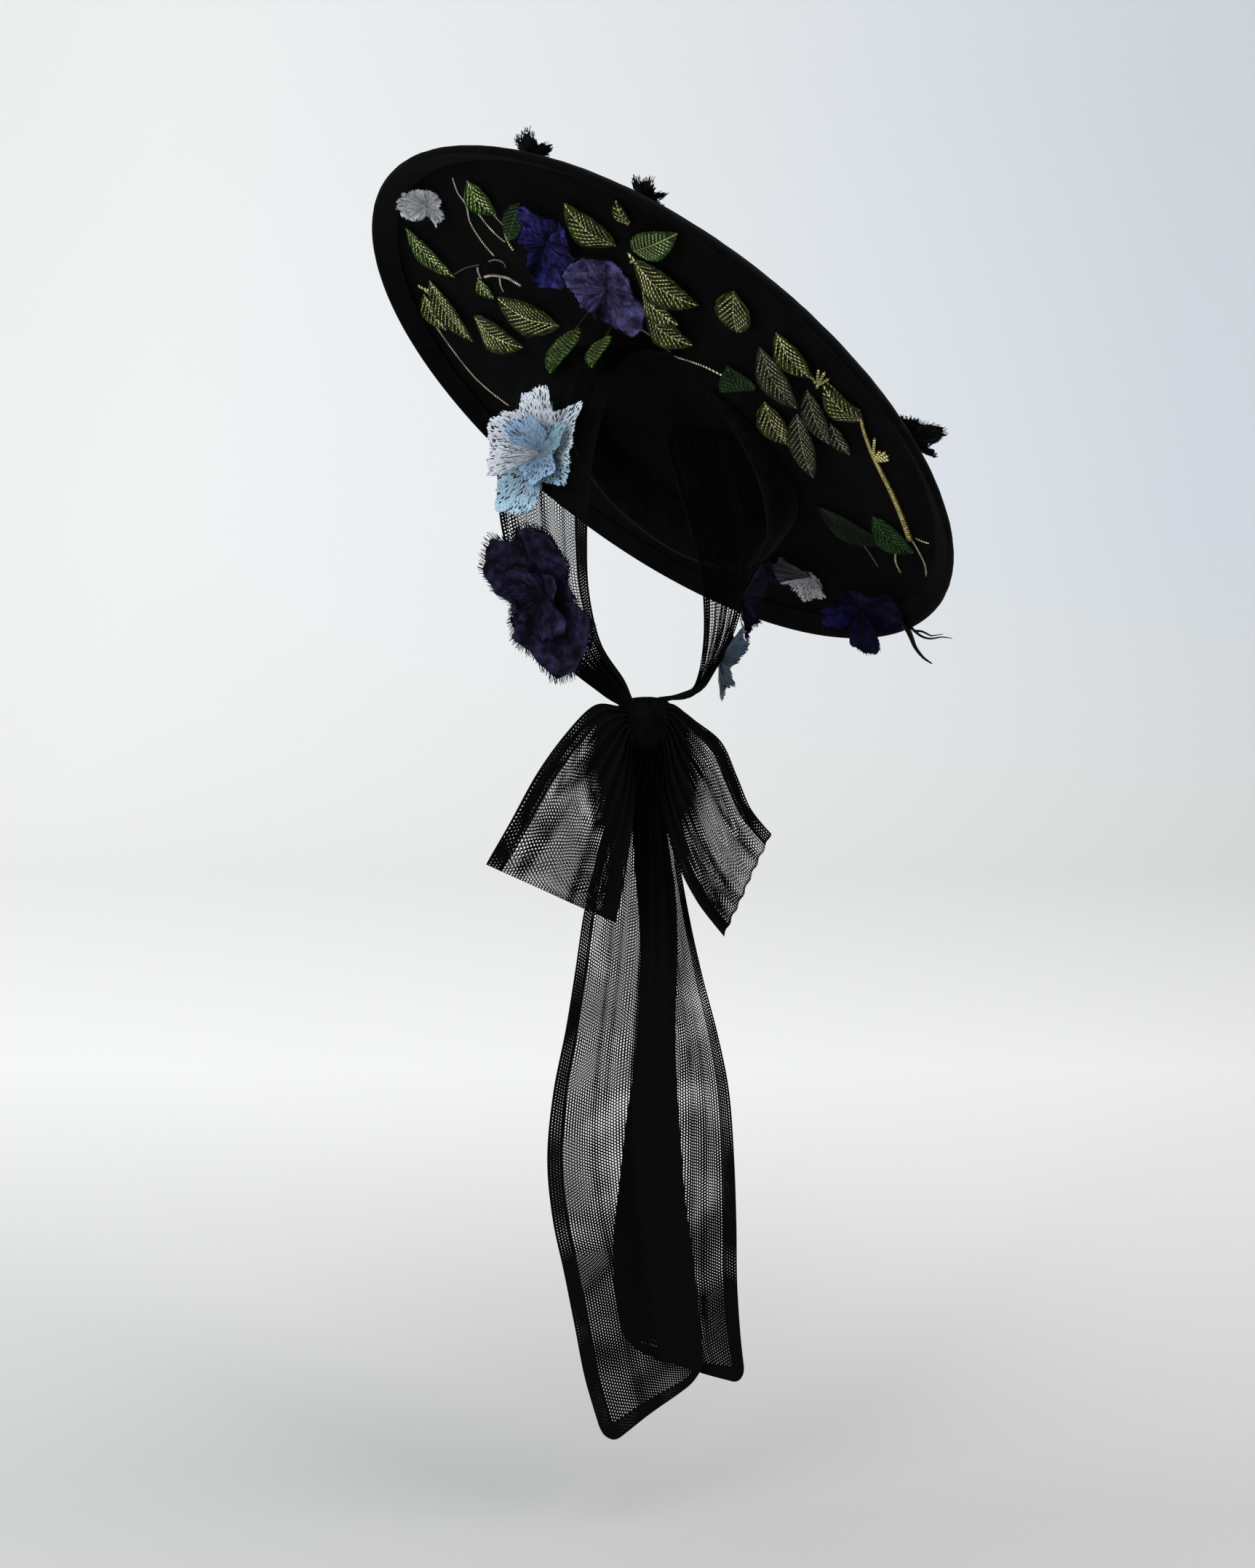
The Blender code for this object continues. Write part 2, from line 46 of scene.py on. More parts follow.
# The view: a camera to the right front, a little above the saucer, in front of a seamless pale
# sweep of floor and wall, with wide soft lamps on both sides.
look_turn, look_drop = math.radians(-43.0), math.radians(12.6)
right = Vector((math.cos(look_turn), math.sin(look_turn), 0))
ahead = Vector((-math.sin(look_turn) * math.cos(look_drop),
                math.cos(look_turn) * math.cos(look_drop), -math.sin(look_drop)))
camera = bpy.data.objects.new("camera", bpy.data.cameras.new("camera"))
camera.matrix_world = Matrix((right, right.cross(ahead), -ahead)).transposed().to_4x4()
camera.location = (-0.9244, -0.9520, 0.0421)
camera.data.sensor_fit = "VERTICAL"
camera.data.sensor_height = 24.0
camera.data.lens = 32.56
bpy.context.scene.collection.objects.link(camera)
bpy.context.scene.camera = camera
bpy.context.scene.view_settings.view_transform = "Standard"


def node(tree, kind, feed=None, **settings):
    """Add a shader node, set it up, and feed its inputs with values or other sockets."""
    made = tree.nodes.new("ShaderNode" + kind)
    for key, value in settings.items():
        setattr(made, key, value)
    for key, value in (feed or {}).items():
        if isinstance(value, bpy.types.NodeSocket):
            tree.links.new(value, made.inputs[key])
        else:
            made.inputs[key].default_value = value
    return made


def maths(tree, operation, first, second=0.0, third=0.0):
    return node(tree, "Math", {0: first, 1: second, 2: third}, operation=operation).outputs[0]


def vectors(tree, operation, first, second=None, third=None, scale=None):
    """Sum on vectors.  A dot product or a length comes out as a number."""
    given = enumerate((first, second, third, scale))
    made = node(tree, "VectorMath", {i: value for i, value in given if value is not None},
                operation=operation)
    return made.outputs[1 if operation in ("DOT_PRODUCT", "LENGTH") else 0]


def axes(tree, vector):
    return node(tree, "SeparateXYZ", {0: vector}).outputs


def ranged(tree, value, low, high, start=0.0, end=1.0):
    """Where a value lies between low and high, as a number from start to end."""
    return node(tree, "MapRange", {0: value, 1: low, 2: high, 3: start, 4: end}).outputs[0]


def mixed(tree, share, *colours):
    """The colour that lies between two others."""
    first, second = (c if isinstance(c, bpy.types.NodeSocket) else (*c, 1) for c in colours)
    return node(tree, "Mix", {0: share, 6: first, 7: second}, data_type="RGBA").outputs[2]


def clouds(tree, vector, scale, detail, rough=0.5):
    return node(tree, "TexNoise", {"Vector": vector, "Scale": scale, "Detail": detail,
                                   "Roughness": rough}).outputs


def finish(name, colour, roughness, **sockets):
    """A new material, with the plain values of its Principled shader."""
    material = bpy.data.materials.new(name)
    material.use_nodes = True
    shader = material.node_tree.nodes["Principled BSDF"]
    shader.inputs["Base Color"].default_value = (*colour, 1.0)
    shader.inputs["Roughness"].default_value = roughness
    for label, value in sockets.items():
        shader.inputs[label.replace("_", " ")].default_value = value
    return material, material.node_tree, shader


def paint(tree, shader, colour):
    tree.links.new(colour, shader.inputs["Base Color"])


FLOOR_Z = -0.74
FLOOR_RUN, SWEEP_R, WALL_RISE = 4.6, 1.2, 4.0


def sweep():
    """Floor and wall in one sheet, with a wide curve between them."""
    bm = bmesh.new()
    ends = [bm.verts.new((x, 1.6 - FLOOR_RUN, 0)) for x in (-5.0, 5.0)]
    edge = [bm.edges.new(ends)]
    for step in ((0, FLOOR_RUN, 0), None, (0, 0, WALL_RISE)):
        if step:
            grown = bmesh.ops.extrude_edge_only(bm, edges=edge)["geom"]
            bmesh.ops.translate(bm, vec=step, verts=[g for g in grown
                                                     if isinstance(g, bmesh.types.BMVert)])
        else:
            grown = bmesh.ops.spin(bm, geom=edge + list(edge[0].verts), cent=(0, 1.6, SWEEP_R),
                                   axis=(1, 0, 0), angle=math.pi / 2, steps=24)["geom_last"]
        edge = [g for g in grown if isinstance(g, bmesh.types.BMEdge)]
    bmesh.ops.transform(bm, matrix=Matrix.Translation((-0.03, 0.0, FLOOR_Z))
                        @ Matrix.Rotation(look_turn, 4, "Z"), verts=bm.verts)
    mesh = bpy.data.meshes.new("studio_sweep")
    bm.to_mesh(mesh)
    bm.free()
    mesh.shade_smooth()
    obj = bpy.data.objects.new("studio_sweep", mesh)
    bpy.context.scene.collection.objects.link(obj)
    paper, tree, shader = finish("pale_paper", (0.82, 0.83, 0.84), 0.75)
    spot = node(tree, "TexCoord").outputs["Object"]
    away, aside = (vectors(tree, "DOT_PRODUCT", spot, way)
                   for way in ((-math.sin(look_turn), math.cos(look_turn), 0), right))
    rise = ranged(tree, axes(tree, spot)[2], FLOOR_Z, FLOOR_Z + 0.39)
    # painted shade in the paper's colour: the floor darker towards the front, and floor and wall
    # darker towards the right
    right_painted_shade = ranged(tree, aside, -0.9, 1.0)
    floor = mixed(tree, ranged(tree, away, -0.05, 0.80), (0.46, 0.455, 0.445), (0.81, 0.80, 0.775))
    wall = mixed(tree, right_painted_shade, (0.84, 0.83, 0.82), (0.61, 0.64, 0.68))
    shaded = vectors(tree, "SCALE", floor, scale=maths(tree, "MULTIPLY_ADD", right_painted_shade, -0.22, 1.03))
    paint(tree, shader, mixed(tree, rise, shaded, wall))
    mesh.materials.append(paper)


def lamp(name, place, aim, size, power, tint):
    light = bpy.data.lights.new(name, "AREA")
    light.shape = "RECTANGLE"
    light.size, light.size_y = size
    light.energy = power
    light.color = tint
    obj = bpy.data.objects.new(name, light)
    place, aim = Vector(place), Vector(aim)
    obj.location = place
    obj.rotation_euler = (aim - place).to_track_quat("-Z", "Y").to_euler()
    bpy.context.scene.collection.objects.link(obj)


sweep()
middle = (0.0, 0.0, -0.25)
lamp("soft_right", (0.75, -1.9, 0.9), middle, (1.2, 1.4), 34, (1.0, 0.985, 0.96))
lamp("soft_left", (-2.1, 0.1, 0.7), middle, (1.2, 1.4), 30, (0.95, 0.98, 1.0))
lamp("soft_top", (-0.3, -0.4, 2.2), middle, (1.8, 1.8), 26, (0.97, 0.985, 1.0))
lamp("soft_low", (-1.7, -1.1, -0.45), (0.0, 0.0, 0.0), (0.9, 0.7), 3, (1.0, 1.0, 1.0))
sky = bpy.data.worlds.new("studio")
sky.use_nodes = True
sky.node_tree.nodes["Background"].inputs["Color"].default_value = (0.93, 0.97, 1.0, 1)
sky.node_tree.nodes["Background"].inputs["Strength"].default_value = 0.72
bpy.context.scene.world = sky

# The saucer: a flat round of stiffened cloth, 427 mm across with its edge turned down, covered
# in dull black crepe.  It sits on the slant, with its right side up.
TILT, NOD = math.radians(45.4), math.radians(4.0)
saucer_turn = Matrix.Rotation(NOD, 4, "X") @ Matrix.Rotation(TILT, 4, "Y")
saucer_axis = saucer_turn @ Matrix.Translation(Vector((25.0, 26.0, 0)) * MM)
SAUCER_R, FLAT_R, SHELL_T, RIM_DROP = 213.6, 195.8, 2.4, 9.8


def new_group(name, takes, gives):
    """A shader node group with named inputs and outputs."""
    group = bpy.data.node_groups.new(name, "ShaderNodeTree")
    for label, kind, value in takes:
        socket = group.interface.new_socket(label, in_out="INPUT", socket_type="NodeSocket" + kind)
        if value is not None:
            socket.default_value = value
    for label in gives:
        group.interface.new_socket(label, in_out="OUTPUT", socket_type="NodeSocketFloat")
    return (group, group.nodes.new("NodeGroupInput").outputs,
            group.nodes.new("NodeGroupOutput").inputs)


def in_cells(group, vector, pitch):
    return vectors(group, "SCALE", vector, scale=maths(group, "DIVIDE", 1.0, pitch))


def arch(tree, value):
    """A round bump over each whole number, 0 to 1 and back."""
    return maths(tree, "ABSOLUTE", maths(tree, "SINE", maths(tree, "MULTIPLY", value, math.pi)))


def crossed_threads():
    """Plain weave: warp and weft that pass over each other by turns."""
    group, taken, given = new_group("crossed_threads", (("Vector", "Vector", None),
                                                        ("Pitch", "Float", 0.0005)), ("Height",))
    cell = axes(group, in_cells(group, taken["Vector"], taken["Pitch"]))
    warp, weft = (arch(group, cell[i]) for i in (0, 1))
    count = maths(group, "ADD", *(maths(group, "FLOOR", cell[i]) for i in (0, 1)))
    height = node(group, "Mix", {0: maths(group, "PINGPONG", count, 1.0), 2: warp, 3: weft})
    group.links.new(height.outputs[0], given["Height"])
    return group


def mottled(tree, vector, scale, low, high):
    """Colour that wanders softly between two tones."""
    cloud = clouds(tree, vector, scale, 4.0, 0.62)["Fac"]
    return mixed(tree, ranged(tree, cloud, 0.32, 0.68), low, high)


def bump(tree, shader, height, strength, distance):
    made = node(tree, "Bump", {"Height": height, "Strength": strength, "Distance": distance})
    tree.links.new(made.outputs[0], shader.inputs["Normal"])


def sealed(bm):
    """Join the seams of a closed piece, and turn its faces outwards."""
    bmesh.ops.remove_doubles(bm, verts=bm.verts, dist=1e-6)
    bmesh.ops.recalc_face_normals(bm, faces=bm.faces)
    return bm


def dress(name, bm, material, stands_for):
    """Make one finished piece of the hat that stands for a solid and rides on it."""
    mesh = bpy.data.meshes.new(name)
    bm.to_mesh(mesh)
    bm.free()
    mesh.shade_smooth()
    mesh.materials.append(material)
    obj = bpy.data.objects.new(name, mesh)
    bpy.context.scene.collection.objects.link(obj)
    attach(obj, "root")
    if stands_for:
        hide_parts(stands_for)
    return obj


weave = crossed_threads()
crepe, tree, shader = finish("black_crepe", (0.006, 0.006, 0.007), 0.85, Sheen_Weight=0.003,
                             Sheen_Roughness=0.4, Specular_IOR_Level=0.008)
flat_on = node(tree, "Mapping", {"Vector": node(tree, "TexCoord").outputs["Object"],
                                 "Rotation": saucer_turn.to_euler()}, vector_type="TEXTURE")
paint(tree, shader, mottled(tree, flat_on.outputs[0], 22.0, (0.0016, 0.0016, 0.0018),
                            (0.0036, 0.0034, 0.0032)))
crepe_threads = node(tree, "Group", {"Vector": flat_on.outputs[0], "Pitch": 0.00055},
                     node_tree=weave)
bump(tree, shader, crepe_threads.outputs["Height"], 0.5, 0.00015)

bm = bmesh.new()
shell = ((0, SHELL_T), (120, SHELL_T), (190, SHELL_T), (FLAT_R + 0.7, SHELL_T),
         (FLAT_R + 4.6, SHELL_T - 1.2), (SAUCER_R, 2.0 - RIM_DROP), (SAUCER_R - 1.4, -RIM_DROP),
         (FLAT_R + 5.4, -2.2), (FLAT_R + 2.2, -0.7), (FLAT_R, 0), (190, 0), (120, 0), (0, 0))
line = [bm.verts.new((r * MM, 0, z * MM)) for r, z in shell]
edges = [bm.edges.new(pair) for pair in zip(line, line[1:])]
bmesh.ops.spin(bm, geom=line + edges, cent=(0, 0, 0), axis=(0, 0, 1), angle=2 * math.pi,
               steps=180, use_merge=True)
bmesh.ops.transform(sealed(bm), matrix=saucer_axis, verts=bm.verts)
dress("saucer_cloth", bm, crepe, "saucer_shell")

# The edge of the saucer is bound with a bias strip of ribbed cloth, folded over the cut edge and
# sewn down 13 mm in on both faces.  It is a warmer black, and puckers a little round the curve.


def patch(bm, along, across, place, size=(1.0, 1.0)):
    """Lay a grid of faces over place(s, t); its UV is the cloth's own flat size in metres."""
    verts = bmesh.ops.create_grid(bm, x_segments=along, y_segments=across, size=1.0)["verts"]
    uv = bm.loops.layers.uv.verify()
    for vert in verts:
        for loop in vert.link_loops:
            loop[uv].uv = ((vert.co.x + 1) / 2 * size[0], (vert.co.y + 1) / 2 * size[1])
    for vert in verts:
        vert.co = place((vert.co.x + 1) / 2, (vert.co.y + 1) / 2)
    return verts


def eased(points, t):
    """Smooth line through evenly keyed points or numbers."""
    last = len(points) - 1
    i = max(0, min(int(t * last), last - 1))
    f = t * last - i
    a, b, c, d = (points[max(0, min(last, i + k))] for k in (-1, 0, 1, 2))
    return b + (c - a + (2 * a - 5 * b + 4 * c - d + (3 * (b - c) + d - a) * f) * f) * 0.5 * f


binding, tree, shader = finish("bias_strip", (0.014, 0.0125, 0.013), 0.7, Sheen_Weight=0.004,
                               Sheen_Roughness=0.35, Specular_IOR_Level=0.015)
RIB = 0.0009
BIAS_FLAT = (1.34, 0.055)  # run and girth in metres
lay = node(tree, "UVMap").outputs[0]
uv = axes(tree, lay)
slant = maths(tree, "ADD", uv[0], uv[1])
paint(tree, shader, mottled(tree, lay, 60.0, (0.0011, 0.0010, 0.0011), (0.0027, 0.0023, 0.0024)))
bump(tree, shader, arch(tree, maths(tree, "DIVIDE", slant, RIB)), 0.55, 0.0002)

wrap = [Vector((SAUCER_R + r, 0, 2.0 - RIM_DROP + z)) * MM for r, z in
        ((-10.3, 8.05), (-10.0, 8.55), (-4, 5.4), (1.1, 0.9), (2.0, -1.2), (0.8, -3.4),
         (-1.3, -3.6), (-7, 0.5), (-12.9, 4.2), (-12.7, 4.7), (-7, 1.5), (-1.3, -2.4),
         (0.4, 0.1), (-5, 4.1), (-10.3, 7.6), (-10.3, 8.05))]


def bound_edge(s, t):
    spot = eased(wrap, t)
    pucker = 0.22 * MM * noise.noise(Vector((math.cos(2 * math.pi * s) * 26,
                                             math.sin(2 * math.pi * s) * 26, t * 3)))
    spot = Vector((spot.x + pucker, 0, spot.z + pucker * 0.5))
    return saucer_axis @ (Matrix.Rotation(2 * math.pi * s, 3, "Z") @ spot)


bm = bmesh.new()
patch(bm, 300, 45, bound_edge, BIAS_FLAT)
dress("rim_bias_strip", sealed(bm), binding, "rim_binding")

# The bandeau: a padded crescent of black velvet sewn under the low side of the saucer, which
# keeps the hat on its slant.
BAND_X, BAND_Y, BAND_R, BAND_WALL = 64.0, 28.0, 84.0, 7.0
BAND_FLAT = (0.4, 0.08)  # run and girth in metres
BAND_ROWS = ((-136, 3.2), (-124, 7), (-110, 13), (-92, 20), (-72, 27), (-50, 31), (-28, 33),
             (-6, 34), (16, 34), (38, 33), (60, 31), (82, 28), (104, 24), (122, 18), (136, 12))


def bandeau(s, t):
    angle = math.radians(eased([row[0] for row in BAND_ROWS], s))
    depth = eased([row[1] for row in BAND_ROWS], s)
    shut = min(1.0, math.sqrt(max(0.0, min(s, 1 - s) / 0.015)))
    inner = BAND_R - BAND_WALL
    soft = min(2.0, depth * 0.4)
    ring = [Vector(p) for p in ((inner, -0.35), (BAND_R, -0.35), (BAND_R + 0.8, -depth * 0.5),
                                (BAND_R - 0.6, -depth + soft), (BAND_R - 3.5, -depth),
                                (inner + 0.6, -depth + soft), (inner - 0.4, -depth * 0.5),
                                (inner, -0.35))]
    core = Vector((BAND_R - 3.5, -depth * 0.5))
    spot = core + (eased(ring, t) - core) * shut
    spot.x += 0.25 * noise.noise(Vector((s * 60, t * 9, 0)))
    return saucer_turn @ Vector((BAND_X + spot.x * math.cos(angle),
                                 BAND_Y + spot.x * math.sin(angle), spot.y)) * MM


velvet, tree, shader = finish("bandeau_velvet", (0.004, 0.004, 0.005), 0.95, Sheen_Weight=0.02,
                              Sheen_Roughness=0.3, Specular_IOR_Level=0.03)
lay = node(tree, "UVMap").outputs[0]
paint(tree, shader, mottled(tree, lay, 90.0, (0.0012, 0.0012, 0.0014), (0.0042, 0.004, 0.0046)))
bump(tree, shader, clouds(tree, lay, 2600.0, 2.0)["Fac"], 0.6, 0.0003)

bm = bmesh.new()
patch(bm, 120, 32, bandeau, BAND_FLAT)
dress("bandeau_pad", sealed(bm), velvet, "bandeau")

# The sash: one long strip of double black net, 85 mm wide, with a 10 mm hem on both edges.  Its
# two arms leave the saucer's underside, run down both sides in a round and meet at the knot.
ROUND = Vector((-41.9, 5.3, -91.1))
ROUND_X, ROUND_Y, ROUND_Z = 75.0, 98.0, 110.0
SASH_W = 0.085
BOW_TURN = math.radians(-30.0)
bow_middle = ROUND + Vector((-25.0, -52.0, -105.0))


def on_round(turn, y, lift):
    """Point on the round that the sash follows: turn in degrees from the top to one side."""
    a = math.radians(turn)
    span = math.sqrt(max(0.0, 1 - (y / (ROUND_Y + lift)) ** 2))
    return ROUND + Vector((-(ROUND_X + lift) * span * math.sin(a), y,
                           (ROUND_Z + lift) * span * math.cos(a)))


def bow_point(across, up, out):
    """Point of the bow: across to the left, up, and out of its plane."""
    c, s = math.cos(BOW_TURN), math.sin(BOW_TURN)
    return bow_middle + Vector((across * c + out * s, across * s - out * c, up))


def net_cells():
    """Six-sided net: how far a point is from the nearest thread, in cells."""
    group, taken, given = new_group("net_cells", (("Vector", "Vector", None),
                                                  ("Pitch", "Float", 0.0017)), ("Distance",))
    flat = vectors(group, "MULTIPLY", taken["Vector"], (1, 1, 0))
    p = in_cells(group, flat, taken["Pitch"])
    half = (0.5, 0.8660254, 0)
    minus = (-0.5, -0.8660254, 0)
    a, b = (vectors(group, "WRAP", start, half, minus)
            for start in (p, vectors(group, "SUBTRACT", p, half)))
    near = maths(group, "LESS_THAN", vectors(group, "DOT_PRODUCT", a, a),
                 vectors(group, "DOT_PRODUCT", b, b))
    cell = node(group, "Mix", {0: near, 4: b, 5: a}, data_type="VECTOR").outputs[1]
    size = vectors(group, "ABSOLUTE", cell)
    reach = maths(group, "MAXIMUM", axes(group, size)[0],
                  vectors(group, "DOT_PRODUCT", size, half))
    group.links.new(maths(group, "SUBTRACT", 0.5, reach), given["Distance"])
    return group


net_group = net_cells()
HEM, HEM_SEAM, HEM_FOLD, CORNER = 0.0095, 0.0091, 0.0010, 0.013
NET_PITCH, LAYER_SLIP = 0.0020, 0.0022
HALF_CELL = 0.52  # threads this wide leave no hole


def net(name, line, length, hemmed_end):
    """Two layers of net, closer where the cloth is gathered, and hemmed along the edges."""
    made, tree, shader = finish(name, (0.002, 0.002, 0.0022), 0.7, Specular_IOR_Level=0.012)
    lay = node(tree, "UVMap").outputs[0]
    along, across = axes(tree, lay)[:2]
    from_edge = maths(tree, "MINIMUM", across, maths(tree, "SUBTRACT", SASH_W, across))
    if hemmed_end:
        from_end = maths(tree, "SUBTRACT", length, along)
        short = [maths(tree, "MAXIMUM", maths(tree, "SUBTRACT", CORNER, gap), 0.0)
                 for gap in (from_edge, from_end)]
        reach = vectors(tree, "LENGTH", node(tree, "CombineXYZ", dict(enumerate(short))).outputs[0])
        from_edge = maths(tree, "SUBTRACT", CORNER, reach)
    hem = maths(tree, "LESS_THAN", from_edge, HEM)
    fold = maths(tree, "LESS_THAN", from_edge, HEM_FOLD)
    seam = maths(tree, "COMPARE", from_edge, HEM_SEAM, 0.0005)
    thick = node(tree, "Attribute", attribute_name="gather").outputs["Fac"]
    shade = maths(tree, "MULTIPLY_ADD", clouds(tree, lay, 70.0, 3.0)["Fac"], 0.06, -0.03)
    cover = maths(tree, "ADD", maths(tree, "ADD", thick, shade),
                  maths(tree, "MULTIPLY", maths(tree, "ADD", hem, seam), 0.32))
    half = ranged(tree, maths(tree, "MAXIMUM", cover, fold), 0.0, 1.0, line, HALF_CELL)
    slipped = vectors(tree, "MULTIPLY_ADD", clouds(tree, lay, 24.0, 1.0)["Color"],
                      (LAYER_SLIP, LAYER_SLIP, 0), lay)
    threads = [maths(tree, "LESS_THAN", node(tree, "Group", {"Vector": layer, "Pitch": NET_PITCH},
                                             node_tree=net_group).outputs["Distance"], half)
               for layer in (lay, slipped)]
    solid = maths(tree, "MAXIMUM", threads[0], threads[1])
    if hemmed_end:
        solid = maths(tree, "MULTIPLY", solid, maths(tree, "GREATER_THAN", from_edge, 0.0))
    tree.links.new(solid, shader.inputs["Alpha"])
    paint(tree, shader, mixed(tree, threads[0], (0.0010, 0.0010, 0.0011),
                              (0.0024, 0.0024, 0.0025)))
    return made


PLEATS, PLEAT_DEPTH = 7, 2.4


def net_strip(name, rows, length, line, gather, stands_for, held, along=90, out=None):
    """A strip of the sash through rows of points.  Where it is drawn in to less than its own
    width it falls in pleats, and how gathered it is is kept on its points."""
    across = 56
    columns = [[eased(row, j / across) for row in rows] for j in range(across + 1)]
    widths = [sum((b - a).length for a, b in zip(row, row[1:])) for row in rows]
    middles = [row[len(row) // 2] for row in rows]
    runs = [0.0]
    for a, b in zip(middles, middles[1:]):
        runs.append(runs[-1] + (b - a).length)
    bm = bmesh.new()
    dense = bm.verts.layers.float.new("gather")

    def place(s, t):
        spot = eased(columns[round(t * across)], s)
        width = eased(widths, s)
        spare = max(0.0, SASH_W / MM / width - 1)
        depth = min(PLEAT_DEPTH, width / PLEATS / math.pi * math.sqrt(spare))
        if held == "hung":
            depth *= min(1.0, (1 - s) / 0.25)
        way = out or (spot - ROUND).normalized()
        return (spot + way * depth * math.sin(2 * math.pi * PLEATS * t + 1.3 * math.sin(5 * s))
                ) * MM

    verts = patch(bm, along, across, place)
    uv = bm.loops.layers.uv.verify()
    for vert in verts:
        s, t = vert.link_loops[0][uv].uv
        run = eased(runs, s) / runs[-1]
        vert[dense] = max(0.0, min(1.0, gather(run, t)))
        for loop in vert.link_loops:
            loop[uv].uv = (run * length, t * SASH_W)
    cloth = net(name + "_cloth", line, length, held == "hung")
    obj = dress(name, bm, cloth, stands_for)


def row_between(start, end, wave=0.0, waves=2.5, out=Vector((0, 0, 1)), phase=0.0, fine=0.0):
    """Points across the strip, with soft folds that stand out along one way."""
    return [start.lerp(end, j / 24) + out * (wave * math.sin(2 * math.pi * waves * j / 24 + phase)
                                             + fine * math.sin(2 * math.pi * 5.5 * j / 24))
            for j in range(25)]


# turn from the top, front edge y, back edge y
ARM_RIGHT = ((0, -26, 56), (14, -30, 52), (34, -39, 44), (57, -46, 31), (73, -49, 21),
             (88, -50, 12), (106, -49, 0), (126, -48, -14), (146, -49, -31))
ARM_LEFT = ((64, -27, 28), (77, -31, 25), (91, -39, 17), (106, -47, 3), (126, -48, -14),
            (146, -49, -31), (162, -52, -40))
ARM_STARTS = {"right": (-24, -26, 52), "left": (43, -24, 26)}


def arm_rows(side):
    table, way = (ARM_RIGHT, 1) if side == "right" else (ARM_LEFT, -1)
    x, front, back = ARM_STARTS[side]
    rows = [row_between(saucer_turn @ Vector((x, front, -1.2)),
                        saucer_turn @ Vector((x, back, -1.2)))]
    for turn, front, back in table:
        rows.append([on_round(way * turn, front + (back - front) * j / 24,
                              3.0 + 0.6 * (1 - math.cos(5 * math.pi * j / 24)))
                     for j in range(25)])
    if side == "right":
        rows += [row_between(bow_point(-8, 11.3, 6.5), bow_point(-13.6, 7.6, -2)),
                 row_between(bow_point(-2, 2, 4), bow_point(-6, 0, -1))]
    else:
        rows += [row_between(bow_point(11, 9.6, 2.5), bow_point(10, 9.4, -7)),
                 row_between(bow_point(5, 2, 1), bow_point(4, 1, -5))]
    return rows


def fold_line(t, middle, width):
    """1 on a fold that runs along the strip, falling to 0 beside it."""
    return max(0.0, 1 - abs(t - middle) / width) ** 1.5


def drawn_in(s, full, none):
    """1 up to one share of the strip's length, falling softly to 0 at another."""
    t = max(0.0, min(1.0, (none - s) / (none - full)))
    return t * t * (3 - 2 * t)


def arm_gather(s, t):
    return (0.95 * drawn_in(1 - s, 0.06, 0.34) ** 2 + 0.22 * fold_line(t, 0.60 - 0.3 * s, 0.05)
            + 0.18 * fold_line(t, 0.84, 0.04) + 0.15 * fold_line(t, 0.22, 0.04)
            + 0.15 * fold_line(t, 0.70 - 0.1 * s, 0.03) + 0.5 * drawn_in(s, 0.02, 0.08))


net_strip("net_arm_right", arm_rows("right"), 0.304, 0.105, arm_gather, "tie_right",
          "stretched")
net_strip("net_arm_left", arm_rows("left"), 0.233, 0.105, arm_gather, "tie_left",
          "stretched")

# The knot: the same net drawn tight into a dark pleated bundle.
KNOT_WIDE, KNOT_TALL, KNOT_DEEP = 18.5, 15.5, 11.0
KNOT_FLAT = (0.1, 0.04)
tight, tree, shader = finish("gathered_net", (0.003, 0.003, 0.0032), 0.85,
                             Specular_IOR_Level=0.015)
lay = node(tree, "UVMap").outputs[0]
knot_threads = node(tree, "Group", {"Vector": lay, "Pitch": 0.0011}, node_tree=weave)
paint(tree, shader, mottled(tree, lay, 120.0, (0.0008, 0.0008, 0.0009), (0.0026, 0.0025, 0.0027)))
bump(tree, shader, knot_threads.outputs["Height"], 0.6, 0.0003)


def knot(s, t):
    turn, rise = 2 * math.pi * s, math.pi * (t - 0.5)
    pleat = 1 + (0.05 * math.cos(8 * turn) + 0.04 * math.sin(19 * turn)) * math.cos(rise) ** 0.5
    flat = abs(math.cos(rise)) ** 0.6
    return bow_point(KNOT_WIDE * pleat * math.cos(turn) * flat, KNOT_TALL * math.sin(rise) - 3,
                     1.5 - KNOT_DEEP * pleat * math.sin(turn) * flat) * MM


bm = bmesh.new()
patch(bm, 96, 32, knot, KNOT_FLAT)
dress("net_knot", sealed(bm), tight, "bow_knot")

# The bow's two loops: the strip goes out, turns over at its far end and comes back behind.
# upper edge (across, up), lower edge (across, up), out of the front and of the back layer
LOOP_RIGHT = ((-16, 8, -8, -14, 9.5, 1), (-31, 9, -9, -38, 14, 3), (-48, -6, -11, -61, 16, 5),
              (-66, -29, -14, -84, 16, 6), (-83, -58, -17, -105, 14, 7),
              (-98, -82, -20, -123, 10.5, 10.5))
LOOP_LEFT = ((16, 8, 8, -14, 9.5, 1), (29, -1, 9, -45, 14, 3), (44, -14, 15, -75, 15, 5),
             (54, -36, 22, -95, 15, 6), (63, -56, 33, -116, 14, 7),
             (77, -73, 48, -136, 10.5, 10.5))
bow_out = bow_point(0, 0, 1) - bow_point(0, 0, 0)


